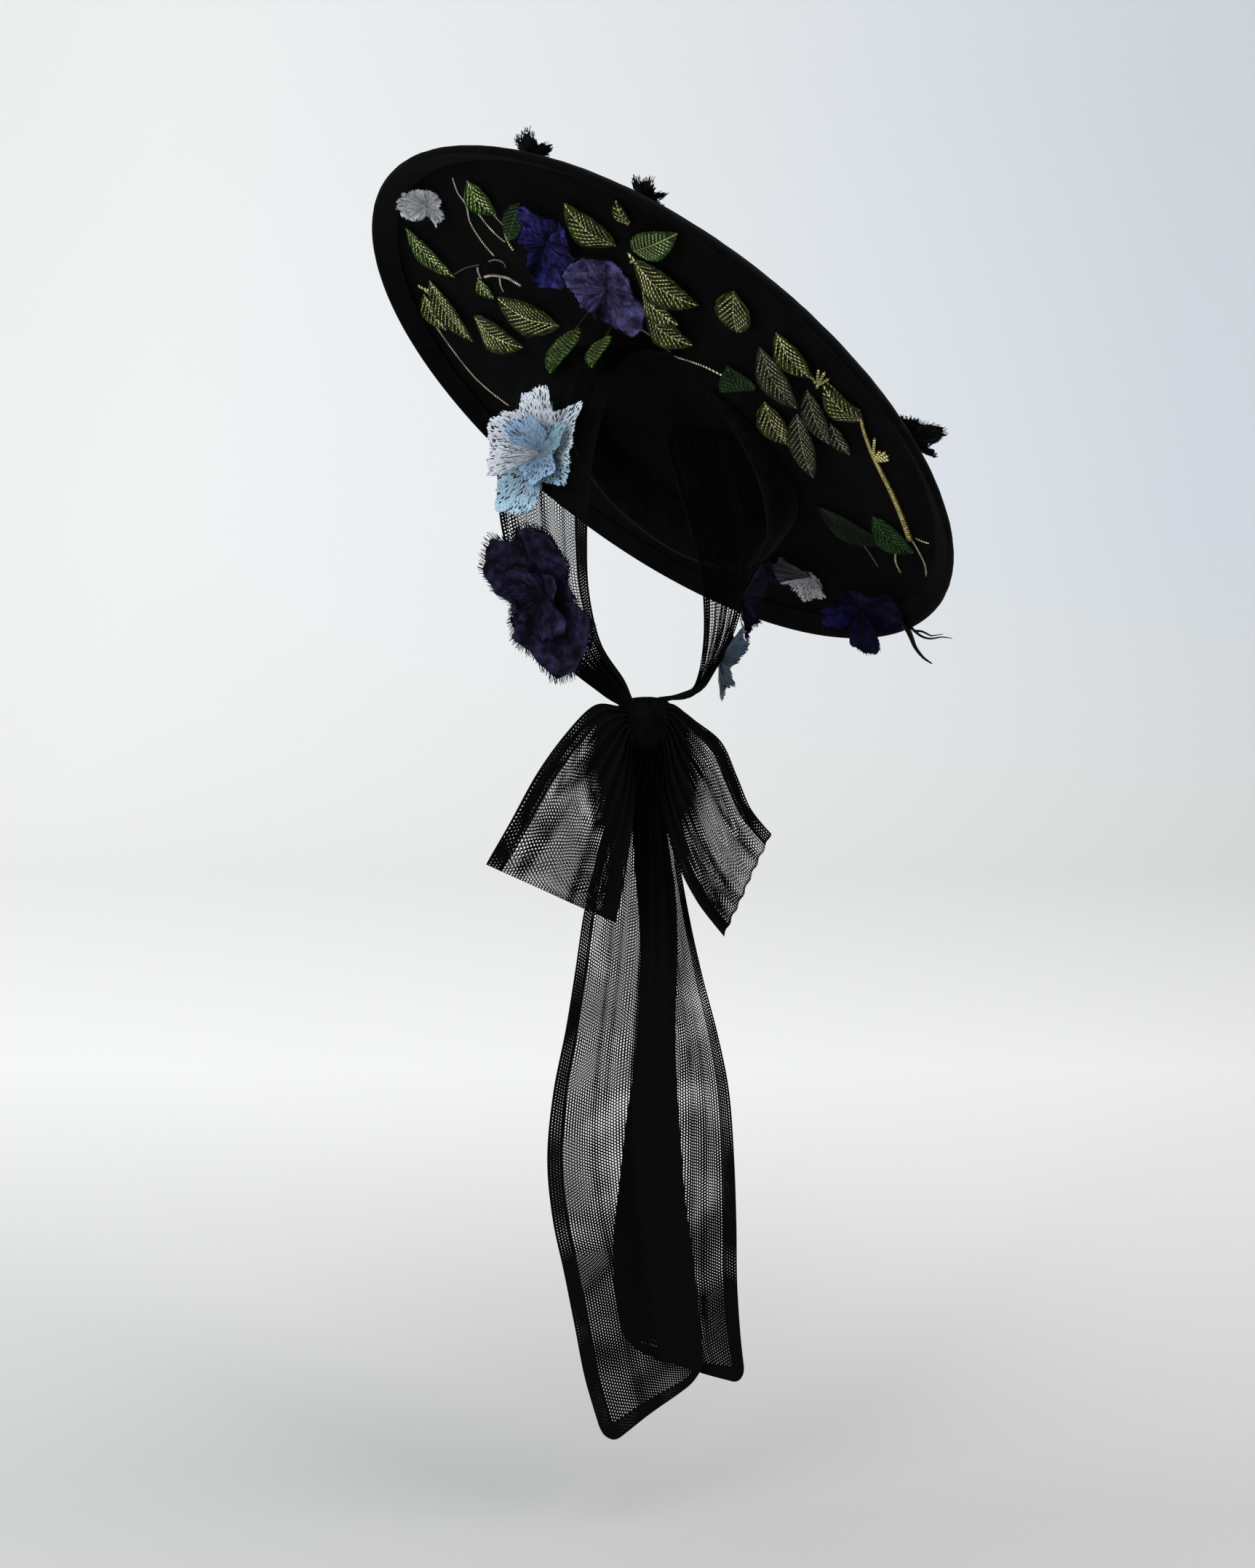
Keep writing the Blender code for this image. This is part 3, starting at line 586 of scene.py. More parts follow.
def loop_rows(table):
    way = math.copysign(1, table[0][0])
    rows = [row_between(bow_point(way * 4, 5, 3), bow_point(way * 1, -14, 3))]
    for i, (ua, uz, la, lz, front, back) in enumerate(table):
        wave = 0.4 + (1.2 * (1 - i / 5) if i else 0)
        rows.append(row_between(bow_point(ua, uz, front), bow_point(la, lz, front), wave, 2.0,
                                bow_out, fine=0.35 if i < 4 else 0.0))
    for i in range(4, -1, -1):
        ua, uz, la, lz, front, back = table[i]
        wave = 0.3 + (0.7 * (1 - i / 5) if i else 0)
        if i == 0:
            ua = la = math.copysign(16.5, ua)
            lz = -10
        rows.append(row_between(bow_point(ua, uz, back), bow_point(la, lz, back), wave, 2.0,
                                bow_out, 1.2, fine=0.3))
    rows.append(row_between(bow_point(way * 4, 4, -1), bow_point(way * 2, -12, -1)))
    return rows


def loop_gather(s, t):
    near = min(s, 1 - s)
    return (0.9 * drawn_in(near, 0.05, 0.22 + 0.28 * t) ** 2 + 0.04
            + 0.13 * fold_line(t, 0.40 - 0.3 * near, 0.05) + 0.10 * fold_line(t, 0.22, 0.04)
            + 0.15 * fold_line(t, 0.64, 0.05) + 0.14 * drawn_in(1 - t, 0.10, 0.45)
            + 1.2 * fold_line(s, 0.5, 0.007))


net_strip("net_loop_right", loop_rows(LOOP_RIGHT), 0.246, 0.070, loop_gather, "bow_loop_right",
          "gathered", 110, bow_out)
net_strip("net_loop_left", loop_rows(LOOP_LEFT), 0.254, 0.070, loop_gather, "bow_loop_left",
          "gathered", 110, bow_out)

# The two ends of the sash hang from the knot, one a little behind the other.
# left edge (across, up), right edge (across, up), fold depth
END_RIGHT = ((-9, -13, 13, -13, 1.0), (-17, -42, 12, -42, 2.6), (-27, -80, 17, -80, 3.6),
             (-36, -117, 22, -117, 3.4), (-42, -156, 23, -154, 3.2),
             (-48, -193, 22, -190, 3.0), (-56, -234, 23, -230, 2.6),
             (-60, -277, 26, -273, 2.2), (-57, -317, 29, -312, 2.0),
             (-50, -354, 34, -348, 1.8), (-43, -393, 38, -384, 1.6),
             (-36, -432, 41, -414, 1.2), (-23, -480, 41, -437, 0.6))
END_LEFT = ((-7, -12.6, 14, -12.6, 0.8), (-6, -50, 20, -48, 2.2), (-3, -92, 26, -90, 2.6),
            (0, -132, 33, -130, 2.8), (1, -172, 42, -170, 2.8), (-1, -212, 52, -208, 2.6),
            (-7, -253, 60, -247, 2.2), (-12, -300, 64, -292, 2.0),
            (-16, -340, 66, -336, 1.8), (-15, -378, 67, -380, 1.4),
            (-9, -407, 70, -421, 1.0), (6, -424, 74, -453, 0.6))


def end_rows(table, top, out, phase):
    rows = [row_between(bow_point(-8, -3, top), bow_point(9, -3, top))]
    for i, (lx, lz, rx, rz, wave) in enumerate(table):
        back = top + (out - top) * min(1.0, i / 2)
        fine = 0.0 if i > len(table) - 3 else 0.5 if i > 1 else 0.2
        rows.append(row_between(bow_point(lx, lz, back), bow_point(rx, rz, back), wave, 1.5,
                                bow_out, phase, fine=fine))
    return rows


def end_gather_right(s, t):
    folded = drawn_in(1 - t, 0.30, 0.40) * drawn_in(s, 0.88, 0.96)
    return (0.95 * drawn_in(s, 0.08, 0.24) ** 1.5 + 0.8 * folded
            + 0.16 * fold_line(t, 0.30 + 0.1 * s, 0.05) + 0.12 * fold_line(t, 0.44, 0.04)
            + 0.22 * drawn_in(1 - s, 0.12, 0.40))


def end_gather_left(s, t):
    folded = drawn_in(t, 0.36, 0.48) * drawn_in(s, 0.90, 0.97)
    return (0.06 + 0.95 * drawn_in(s, 0.08, 0.22) ** 1.5 + 0.8 * folded
            + 0.16 * fold_line(t, 0.62, 0.05) + 0.14 * fold_line(t, 0.80 - 0.1 * s, 0.04)
            + 0.16 * drawn_in(1 - s, 0.10, 0.45))


net_strip("net_end_right", end_rows(END_RIGHT, 1.5, -6.0, 0.4), 0.459, 0.145,
          end_gather_right, "bow_tail_right", "hung", 140, bow_out)
net_strip("net_end_left", end_rows(END_LEFT, -3.0, -15.0, 2.2), 0.440, 0.145,
          end_gather_left, "bow_tail_left", "hung", 130, bow_out)

# The leaves: cut from organza, embroidered with close olive and green thread, their veins laid
# in a twisted metal cord.  Each is sewn to the saucer by its stalk end and stands a little off.
LEAF_FAN = (
    # name, base x, y and depth below the underside, heading, droop, length, width, stalk, colour
    ("leaf_back_long", -114, 164, 0.8, -29, 4, 43, 15, 0, "bright"),
    ("leaf_back_bright", -157, 66, 0.8, -20, 4, 26, 18, 0, "bright"),
    ("leaf_back_green", -141, 31, 0.8, 47, 5, 40, 13, 0, "deep"),
    ("leaf_fan_1", -112, -31, 0.8, 154, 4, 38, 22, 0, "olive"),
    ("leaf_fan_2", -129, -53, 0.8, -165, 4, 21, 10, 0, "olive"),
    ("leaf_fan_3", -109, -43, 0.8, -110, 1.5, 52, 19, 0, "bright"),
    ("leaf_fan_4", -101, -37, 0.8, -54, 4, 47, 25, 0, "olive"),
    ("leaf_fan_5", -81, -30, 0.8, -56, 17, 34, 18, 0, "olive"),
    ("leaf_fan_6", -61, -19, 0.8, -50, 4, 36, 22, 0, "olive"),
    ("leaf_side_1", -38, 74, 0.8, 124, 5, 45, 26, 0, "olive"),
    ("leaf_side_2", -37, 160, 0.8, -61, 4, 42, 25, 0, "olive"),
    ("leaf_side_3", -54, 198, 0.8, -3, 6, 30, 16, 0, "olive"),
    ("leaf_side_4", -68, 180, 0.8, -6, 4, 52, 18, 0, "olive"),
    ("leaf_over_tie_1", -53, 36, 0.8, -118, 60, 74, 21, 22, "bright"),
    ("leaf_over_tie_2", -50, 12, 0.8, -118, 53, 68, 17, 28, "bright"),
    ("leaf_lone", -84, -107, 0.8, 25, 4, 34, 22, 0, "olive"),
    ("leaf_spray_1", -54, -121, 0.8, -18, 4, 34, 18, 0, "olive"),
    ("leaf_spray_2", -40, -100, 0.8, -18, 12, 42, 20, 0, "grey"),
    ("leaf_spray_3", 0, -68, 0.8, 172, 5, 23, 24, 0, "deep"),
    ("leaf_spray_4", 8, -75, 0.8, -3, 5, 34, 20, 0, "olive"),
    ("leaf_spray_5", 15, -97, 0.8, 11, 9, 50, 17, 0, "grey"),
    ("leaf_spray_6", -8, -118, 0.8, -2, 11, 38, 15, 0, "grey"),
    ("leaf_spray_7", 19, -121, 0.8, -5, 3, 25, 11, 0, "grey"),
    ("leaf_spray_8", 14, -148, 0.8, 161, 4, 33, 18, 0, "olive"),
    ("leaf_low_1", 104, -62, 0.8, -65, 3, 52, 18, 0, "dark"),
    ("leaf_low_2", 103, -108, 0.8, -41, 5, 34, 20, 0, "deep"),
)
# organza, embroidery thread and cord of each colour of leaf
LEAF_COLOURS = {
    "olive": ((0.002, 0.003, 0.001), (0.078, 0.112, 0.007), (1.0, 0.96, 0.46)),
    "bright": ((0.002, 0.008, 0.002), (0.070, 0.200, 0.011), (0.94, 1.0, 0.46)),
    "grey": ((0.003, 0.004, 0.002), (0.055, 0.070, 0.028), (0.62, 0.64, 0.40)),
    "dark": ((0.0010, 0.0025, 0.0010), (0.004, 0.018, 0.004), (0.008, 0.030, 0.008)),
    "deep": ((0.0015, 0.005, 0.0015), (0.020, 0.080, 0.010), (0.10, 0.24, 0.07)),
}
LEAF_THREAD, LEAF_STITCH = 0.00075, 0.0028
ORGANZA_T, LEAST_W = 0.35, 10.1
VEIN_SLANT, VEIN_GAP, VEIN_REACH = 1.25, 4.0, 0.62
RIB_LIFT, VEIN_LIFT, RIB_EXTRA = 0.35, 0.30, 0.08
VEIN_RADIUS = {"olive": 0.36, "bright": 0.34, "grey": 0.26, "dark": 0.20, "deep": 0.24}
LEAF_ROLL = math.radians(20)
roll_way = Vector((-0.61, -0.79, 0))


def stitched_rows():
    """Close rows of thread: height across a row, and a tone that changes stitch by stitch."""
    group, taken, given = new_group("stitched_rows", (("Vector", "Vector", None),
                                                      ("Pitch", "Float", 0.0007),
                                                      ("Stitch", "Float", 0.004)),
                                    ("Height", "Tone"))
    along, across = axes(group, taken["Vector"])[:2]
    row = maths(group, "DIVIDE", across, taken["Pitch"])
    number = maths(group, "FLOOR", row)
    start = node(group, "TexWhiteNoise", {"W": number}, noise_dimensions="1D").outputs["Value"]
    run = maths(group, "ADD", maths(group, "DIVIDE", along, taken["Stitch"]),
                maths(group, "MULTIPLY", start, 7.0))
    spot = node(group, "CombineXYZ", {0: maths(group, "FLOOR", run), 1: number})
    tone = node(group, "TexWhiteNoise", {"Vector": spot.outputs[0]},
                noise_dimensions="2D").outputs["Value"]
    lifted = maths(group, "MULTIPLY", arch(group, row),
                   maths(group, "POWER", arch(group, run), 0.3))
    group.links.new(lifted, given["Height"])
    group.links.new(tone, given["Tone"])
    return group


def twisted_cord(name, colour, metallic=0.85, gap=0.0013, bare=0.30, grain=130.0):
    """Metal thread twisted on a core: bright turns in the metal's colour, dimmed in patches as a
    painted glint, with the grooves between them painted nearly black as shade.
    """
    made, tree, shader = finish(name, colour, 0.30, Metallic=metallic,
                                Specular_IOR_Level=0.04 + 0.5 * metallic)
    along, across = axes(tree, node(tree, "UVMap").outputs[0])[:2]
    turn = maths(tree, "ADD", maths(tree, "DIVIDE", along, gap), across)
    # painted glint on the crown of each turn, and painted shade in the grooves between turns
    bright = ranged(tree, arch(tree, turn), 1 - 1.8 * bare, 1 - 0.4 * bare)
    glint_patches = clouds(tree, node(tree, "TexCoord").outputs["Object"], grain, 2.0)["Fac"]
    painted_glint = maths(tree, "MULTIPLY", bright, ranged(tree, glint_patches, 0.38, 0.58, 0.4))
    paint(tree, shader, mixed(tree, painted_glint, [c * 0.05 for c in colour], colour))
    bump(tree, shader, bright, 0.8, 0.0003)
    return made


rows_group = stitched_rows()


def leaf_cloth(kind):
    ground, thread, cord_colour = LEAF_COLOURS[kind]
    made, tree, shader = finish("leaf_" + kind, thread, 0.5, Specular_IOR_Level=0.07)
    along, across = axes(tree, node(tree, "UVMap").outputs[0])[:2]
    aside = maths(tree, "ABSOLUTE", across)
    chevron = maths(tree, "SUBTRACT", along, maths(tree, "MULTIPLY", aside, VEIN_SLANT))
    turned = node(tree, "CombineXYZ", {0: aside, 1: chevron})
    stitches = node(tree, "Group", {"Vector": turned.outputs[0], "Pitch": LEAF_THREAD,
                                    "Stitch": LEAF_STITCH}, node_tree=rows_group).outputs
    cover = maths(tree, "MULTIPLY", ranged(tree, stitches["Tone"], 0.35, 1.0), stitches["Height"])
    paint(tree, shader, mixed(tree, cover, ground, thread))
    bump(tree, shader, stitches["Height"], 0.7, 0.0003)
    return made, twisted_cord("cord_" + kind, cord_colour, 0.85, 0.0024, 0.26)


leaf_finishes = {kind: leaf_cloth(kind) for kind in LEAF_COLOURS}


def placed(origin, along, facing):
    """Placement whose X runs along one way and whose Z faces as nearly as it can another."""
    x = along.normalized()
    z = (facing - facing.dot(x) * x).normalized()
    m = Matrix((x, z.cross(x), z)).transposed().to_4x4()
    m.translation = origin * MM
    return m


def cord(bm, points, radius, facing, sides=5, steps=None, blunt=0.12, swell=0.0):
    """A round cord along a smooth line of points, closed at both ends.  It may swell from its
    start to its end, or thin out."""
    count = steps or 4 * len(points)
    path = [eased(points, i / count) for i in range(count + 1)]
    length = sum((b - a).length for a, b in zip(path, path[1:]))

    def place(s, t):
        i = round(s * count)
        way = (path[min(i + 1, count)] - path[max(i - 1, 0)]).normalized()
        side = way.cross(facing).normalized()
        over = side.cross(way)
        end = 0.0 if i in (0, count) else min(1.0, 0.75 + min(s, 1 - s) / blunt)
        end *= 1 + swell * (s - 0.5)
        a = 2 * math.pi * t
        return path[i] + (side * math.cos(a) + over * math.sin(a)) * radius * end

    verts = patch(bm, count, sides, place, (length, 1.0))
    bmesh.ops.remove_doubles(bm, verts=verts, dist=1e-6)


def leaf_half(width, blade):
    """Half the width of a blade at a share of its length."""
    return width / 2 * math.sin(math.pi * blade ** 0.85) ** 0.8


def leaf_point(length, width, stalk, s, side, roll=0.0):
    """Point of the blade: s from its base to its tip, side from -1 to 1 across it.  The blade
    rolls over on its midrib as it leaves the cloth."""
    start = stalk / length
    blade = max(0.0, (s - start) / (1 - start))
    half = max(0.5, leaf_half(width, blade) if blade < 1 else 0)
    run = length * s - abs(half * side) * VEIN_SLANT
    teeth = 0.35 * (math.sin(2 * math.pi * run / VEIN_GAP) if half > 1.5 else 0.0)
    hump = 0.02 * length * math.sin(math.pi * s)
    vee = 1.3 * abs(side) * min(1.0, half / 6)
    puff = 0.28 * abs(math.sin(math.pi * run / VEIN_GAP)) * min(1.0, half / 4)
    reach = (half + teeth * abs(side) ** 3) * side
    turn = roll * min(1.0, 2.5 * s)
    up = hump + vee + puff
    return Vector((length * s, reach * math.cos(turn) + up * math.sin(turn),
                   up * math.cos(turn) - reach * math.sin(turn) + half * abs(math.sin(turn)))
                  ) * MM


def leaf_cords(bm, length, width, stalk, roll, matrix, radius):
    """The midrib and its slanting side veins, laid on the blade's upper face."""
    out = Vector((0, 0, 1))
    rib = [leaf_point(length, width, stalk, s / 10, 0.0, roll) + out * RIB_LIFT * MM
           for s in range(11)]
    cord(bm, rib, (radius + RIB_EXTRA) * MM, out)
    start = stalk + 0.06 * (length - stalk)
    while start < length * 0.90:
        for side in (-1, 1):
            line = []
            for i in range(7):
                x = start + i / 6 * width * VEIN_REACH
                if x >= length * 0.985:
                    break
                half = leaf_half(width, (x - stalk) / (length - stalk))
                y = (x - start) / VEIN_SLANT
                if half < 0.5 or y > half * 0.97:
                    break
                spot = leaf_point(length, width, stalk, x / length, side * y / half, roll)
                line.append(spot + out * VEIN_LIFT * MM)
            if len(line) > 2:
                cord(bm, line, radius * MM, out, steps=8)
        start += VEIN_GAP
    bmesh.ops.transform(bm, matrix=matrix, verts=bm.verts)


def thicken(obj, thickness):
    """Give a sheet its real thickness, half of it to each side."""
    made = obj.modifiers.new("thickness", "SOLIDIFY")
    made.thickness = thickness * MM
    made.offset = 0.0


def embroidered_leaf(name, x, y, depth, heading, droop, length, width, stalk, kind, solid=True):
    h, d = math.radians(heading), math.radians(droop)
    along = Vector((math.cos(h) * math.cos(d), math.sin(h) * math.cos(d), -math.sin(d)))
    facing = Vector((-0.9, -0.2, -0.4)) if stalk else Vector((0, 0, -1))
    local = placed(Vector((x, y, -depth)), along, facing)
    roll = 0.0 if stalk else LEAF_ROLL * roll_way.dot(local.to_3x3().col[1])
    matrix = saucer_turn @ local
    bm = bmesh.new()
    verts = patch(bm, 40, 12, lambda s, t: leaf_point(length, width, stalk, s, 2 * t - 1, roll))
    uv = bm.loops.layers.uv.verify()
    for vert in verts:
        for loop in vert.link_loops:
            s, t = loop[uv].uv
            flat_spot = leaf_point(length, width, stalk, s, 2 * t - 1)
            loop[uv].uv = flat_spot.xy
    area = sum(face.calc_area() for face in bm.faces)
    bmesh.ops.transform(bm, matrix=matrix, verts=bm.verts)
    cloth, vein = leaf_finishes[kind]
    blade = dress(name + "_blade", bm, cloth, name if solid else None)
    thicken(blade, ORGANZA_T)
    bm = bmesh.new()
    leaf_cords(bm, length, width, stalk, roll, matrix, VEIN_RADIUS[kind])
    veins = dress(name + "_veins", bm, vein, None)


for row in LEAF_FAN:
    embroidered_leaf(*row)
# a small green one at the end of a curl of cord
embroidered_leaf("leaf_curl", -75, 124, 0.8, -10, 4, 17, 11, 0, "bright", solid=False)

# The stems: silver-gold and gold cord laid on the underside in curling lines and caught down
# with small stitches.  Two small gold stars and a bud are worked between them.
STEMS = (
    ("pale", 0.65, ((-158, 79), (-146, 84), (-137, 84), (-123, 92), (-108, 94), (-95, 92))),
    ("pale", 0.65, ((-137, 80), (-130, 78), (-121, 77), (-114, 75), (-108, 71))),
    ("pale", 0.60, ((-140, 65), (-131, 64), (-124, 62), (-121, 61))),
    ("gold", 0.95, ((-125, 58), (-118, 63), (-110, 67), (-102, 68))),
    ("dull", 0.40, ((-75, 149), (-82, 131), (-86, 114))),
    ("pale", 0.80, ((-84, 117), (-80, 120), (-74, 122))),
    ("pale", 1.00, ((-76, 117), (-78, 108), (-78, 101), (-77, 93), (-74, 89), (-71, 85))),
    ("pale", 0.75, ((-76, 102), (-70, 106), (-64, 108))),
    ("dull", 0.70, ((-90, 102), (-92, 93), (-90, 87), (-86, 88))),
    ("pale", 0.65, ((-23, 213), (-8, 214), (9, 214), (22, 213), (30, 211), (41, 205),
                    (52, 196))),
    ("gold", 0.60, ((-54, 198), (-36, 208), (-23, 213))),
    ("pale", 0.70, ((-43, -4), (-38, -9), (-32, -13), (-23, -19), (-20, -29), (-16, -41),
                    (-8, -55))),
    ("braid", 1.60, ((5, -151), (23, -145), (43, -141), (56, -140), (77, -138), (96, -135),
                    (120, -130))),
    ("gold", 0.70, ((132, -112), (146, -104), (158, -102))),
    ("pale", 0.65, ((120, -130), (131, -130), (146, -128), (166, -119))),
    ("dull", 0.55, ((135, -83), (146, -84), (157, -84))),
    ("pale", 0.55, ((118, -134), (120, -138), (121, -143))),
    ("gold", 0.75, ((-21, -135), (-12, -140), (-1, -145), (5, -151))),
)
stem_finishes = {"pale": twisted_cord("pale_cord", (0.88, 0.83, 0.62), 0.8, 0.0015),
                 "gold": twisted_cord("gold_cord", (0.95, 0.86, 0.34), 0.85, 0.0022),
                 "braid": twisted_cord("gold_braid", (1.0, 0.84, 0.26), 0.85, 0.0015, 0.24,
                                       430.0),
                 "dull": twisted_cord("dull_cord", (0.12, 0.12, 0.10), 0.4, 0.0019),
                 "black": twisted_cord("black_cord", (0.0040, 0.0048, 0.0036), 0.0, 0.0019)}
under = saucer_turn.to_3x3() @ Vector((0, 0, -1))
for number, (kind, radius, points) in enumerate(STEMS, 1):
    bm = bmesh.new()
    line = [saucer_turn @ Vector((x, y, -radius * 0.9)) * MM for x, y in points]
    cord(bm, line, radius * MM, under, sides=7, steps=16 * len(line),
         swell=0.65 if kind == "braid" else 0.0)
    dress(f"stem_{number:02d}", bm, stem_finishes[kind], None)


def star(name, x, y, arms):
    """Short gold stitches that fan out from one point."""
    bm = bmesh.new()
    for turn, reach in arms:
        a = math.radians(turn)
        line = [saucer_turn @ Vector((x + r * math.cos(a), y + r * math.sin(a), -z)) * MM
                for r, z in ((0, 1.2), (reach * 0.5, 1.5), (reach, 0.6))]
        cord(bm, line, 1.1 * MM, under, sides=6, steps=8)
    dress(name, bm, stem_finishes["gold"], None)


star("gold_star_upper", -14, -130, ((-150, 15), (-135, 16), (-118, 13), (168, 6), (40, 4)))
star("gold_star_lower", 47, -139, ((-151, 23), (-134, 13), (-123, 16), (-112, 15), (-100, 13)))
star("gold_bud", -60, 193, ((-75, 10), (-52, 10), (-30, 9), (120, 5)))
star("gold_eye", -103, -40, ((-30, 7), (10, 6), (60, 7), (150, 5)))

# Two dark twigs of the same cord hang out past the bound edge, one of them forked.
# x, y and depth below the underside
TWIGS = (
    ("twig_low", 1.45, ((194, -86, 9.0), (202, -92, 12.1), (207, -96, 15.8), (212, -99, 19.1),
                        (218, -104, 21.4), (223, -109, 21.4))),
    ("twig_side", 0.75, ((195, -87, 9.0), (202, -93, 10.3), (209, -99, 11.2), (213, -104, 9.5),
                         (216, -109, 4.6), (220, -114, 1.2))),
    ("twig_fork", 0.55, ((206, -96, 10.5), (208, -100, 8.7), (212, -104, 7.7), (214, -106, 5.3),
                         (216, -109, 2.0))),
)
for name, radius, points in TWIGS:
    bm = bmesh.new()
    line = [saucer_turn @ Vector((x, y, -depth)) * MM for x, y, depth in points]
    cord(bm, line, radius * MM, under, sides=7, steps=8 * len(line), blunt=0.5, swell=-1.3)
    dress(name, bm, stem_finishes["black"], None)

# The flowers: petals worked in satin stitch or cut from velvet, ruffled round one middle.  The
# pale blue and plum ones are sewn on the arms of the sash, the violet ones on the saucer.
OUTLINES = {
    "blue_back": ((0, 27), (30, 29), (47, 40), (66, 25), (84, 38), (110, 36), (127, 30),
                  (150, 36), (180, 33), (205, 34), (225, 27), (243, 42), (270, 39), (285, 35),
                  (300, 23), (322, 32), (345, 27), (360, 27)),
    "blue_front": ((0, 21), (35, 26), (60, 15), (100, 20), (140, 22), (175, 14), (215, 17),
                   (250, 15), (290, 25), (325, 24), (345, 17), (360, 21)),
    "plum_back": ((0, 28), (28, 25), (55, 33), (80, 43), (105, 43), (117, 38), (130, 46),
                  (152, 40), (172, 30), (192, 21), (222, 24), (238, 31), (256, 34), (283, 47),
                  (300, 47), (320, 42), (340, 38), (360, 28)),
    "plum_front": ((0, 15), (45, 21), (80, 19), (130, 24), (180, 13), (240, 15), (290, 23),
                   (320, 26), (360, 15)),
    "violet_upper": ((0, 18), (35, 20), (66, 23), (88, 27), (106, 29), (130, 16), (180, 12),
                     (225, 16), (247, 29), (270, 28), (300, 26), (330, 21), (360, 18)),
    "violet_lower": ((0, 18), (45, 19), (75, 25), (110, 26), (140, 28), (180, 20), (225, 16),
                     (270, 23), (300, 30), (325, 27), (360, 18)),
    "indigo": ((0, 27), (30, 25), (60, 17), (90, 20), (120, 21), (150, 15), (180, 25),
               (205, 25), (240, 13), (260, 30), (275, 34), (290, 31), (306, 17), (330, 26),
               (360, 27)),
    "small": ((0, 13), (36, 9), (72, 13), (108, 9), (144, 14), (180, 10), (216, 13),
              (252, 9), (288, 14), (324, 9), (360, 13)),
    "torn": ((0, 13), (40, 8), (75, 15), (120, 10), (165, 14), (215, 7), (260, 12),
             (305, 9), (335, 22), (345, 20), (360, 13)),
    "petal": ((0, 14), (45, 12), (90, 13), (135, 12), (180, 14), (225, 11), (270, 12),
              (315, 12), (360, 14)),
    "fan_petal": ((0, 11), (40, 14), (74, 17), (101, 15), (125, 15), (150, 18), (185, 20),
                  (202, 19), (225, 10), (250, 6), (275, 7), (300, 12), (318, 13), (335, 11),
                  (360, 11)),
    "wing": ((0, 6), (60, 7), (85, 12), (105, 25), (130, 25), (155, 21), (185, 17), (210, 16),
             (250, 18), (270, 18), (290, 11), (330, 6), (360, 6)),
}
# the angles where one petal ends and the next begins
PETAL_CUTS = {
    "blue_back": (-15, 66, 127, 225, 300, 345), "blue_front": (-15, 60, 175, 250, 345),
    "plum_back": (28, 117, 192, 250, 388), "plum_front": (0, 80, 180, 250, 360),
    "violet_upper": (0, 60, 180, 240, 360), "violet_lower": (0, 90, 225, 360),
    "indigo": (-56, 60, 150, 242, 304), "small": (-36, 36, 108, 180, 252, 324),
    "torn": (-55, 40, 120, 215, 305), "petal": (0, 90, 180, 270, 360),
    "fan_petal": (-52, 45, 125, 215, 308), "wing": (-60, 75, 120, 170, 300),
}
# thread colours of the petals, in the same order, with painted light and shade worked into some
LILAC_GREY, ICE, SKY = (0.82, 0.87, 0.97), (0.72, 0.86, 0.97), (0.42, 0.65, 0.94)
TEAL, FAN, PEARL = (0.34, 0.58, 0.72), (0.46, 0.68, 0.86), (0.93, 0.94, 1.0)
PEARL_PAINTED_SHADE, SHADED_DENIM = (0.014, 0.016, 0.026), (0.040, 0.095, 0.17)
PLAIN = (1.0, 1.0, 1.0)
PETAL_TINTS_AND_PAINTED_LIGHT = {
    "blue_back": (ICE, LILAC_GREY, LILAC_GREY, FAN, TEAL),
    "blue_front": (TEAL, SKY, LILAC_GREY, SKY),
    # the wing's two middle lobes are its pearl thread painted dark as shade
    "wing": (PEARL, PEARL_PAINTED_SHADE, PEARL_PAINTED_SHADE, PEARL),
    # painted light and shade on one velvet: its left petal painted lighter, its right and upper
    # petals darker, its lower one a little darker
    "indigo": ((0.55, 0.55, 0.60), (0.60, 0.60, 0.70), (1.7, 1.7, 2.1), (0.8, 0.8, 0.9)),
}
# painted shade: the flowers on the far side take darker copies of their colours
SHADED = (0.35, 0.33, 0.40)
FAR_SIDE_PAINTED_SHADE = {"flower_blue_left": (SHADED_DENIM,) * 4, "flower_plum_left": (SHADED,) * 4,
            "petals_lilac_left": (SHADED,) * 4}


def between(table, key):
    for (k0, v0), (k1, v1) in zip(table, table[1:]):
        if key <= k1:
            t = (key - k0) / (k1 - k0)
            return v0 + (v1 - v0) * t * t * (3 - 2 * t)
    return table[-1][1]


def face_matrix(place, turn, rise, spin):
    """Z faces out, Y up, placed at a point in millimetres."""
    a, e = math.radians(turn), math.radians(rise)
    z = Vector((math.sin(a) * math.cos(e), -math.cos(a) * math.cos(e), math.sin(e)))
    return (placed(place, Vector((0, 0, 1)).cross(z), z)
            @ Matrix.Rotation(math.radians(spin), 4, "Z"))


def ragged_edge(tree, shader, lay, pitch, depth):
    """Each thread ends at its own length, so that the petal's edge is not cut straight."""
    row = maths(tree, "FLOOR", maths(tree, "DIVIDE", axes(tree, lay)[1], pitch))
    end = node(tree, "TexWhiteNoise", {"W": row}, noise_dimensions="1D").outputs["Value"]
    rim = node(tree, "Attribute", attribute_name="rim").outputs["Fac"]
    kept = maths(tree, "GREATER_THAN", rim, maths(tree, "MULTIPLY", end, depth))
    tree.links.new(kept, shader.inputs["Alpha"])


SATIN_THREAD, SATIN_STITCH, SATIN_STRAY = 0.00052, 0.0020, (0.0016, 0.0011, 0)
# tone of a stitch at three places of a random 0 to 1
SATIN_TONES = ((0.14, 0.02), (0.24, 0.70), (1.0, 1.0))


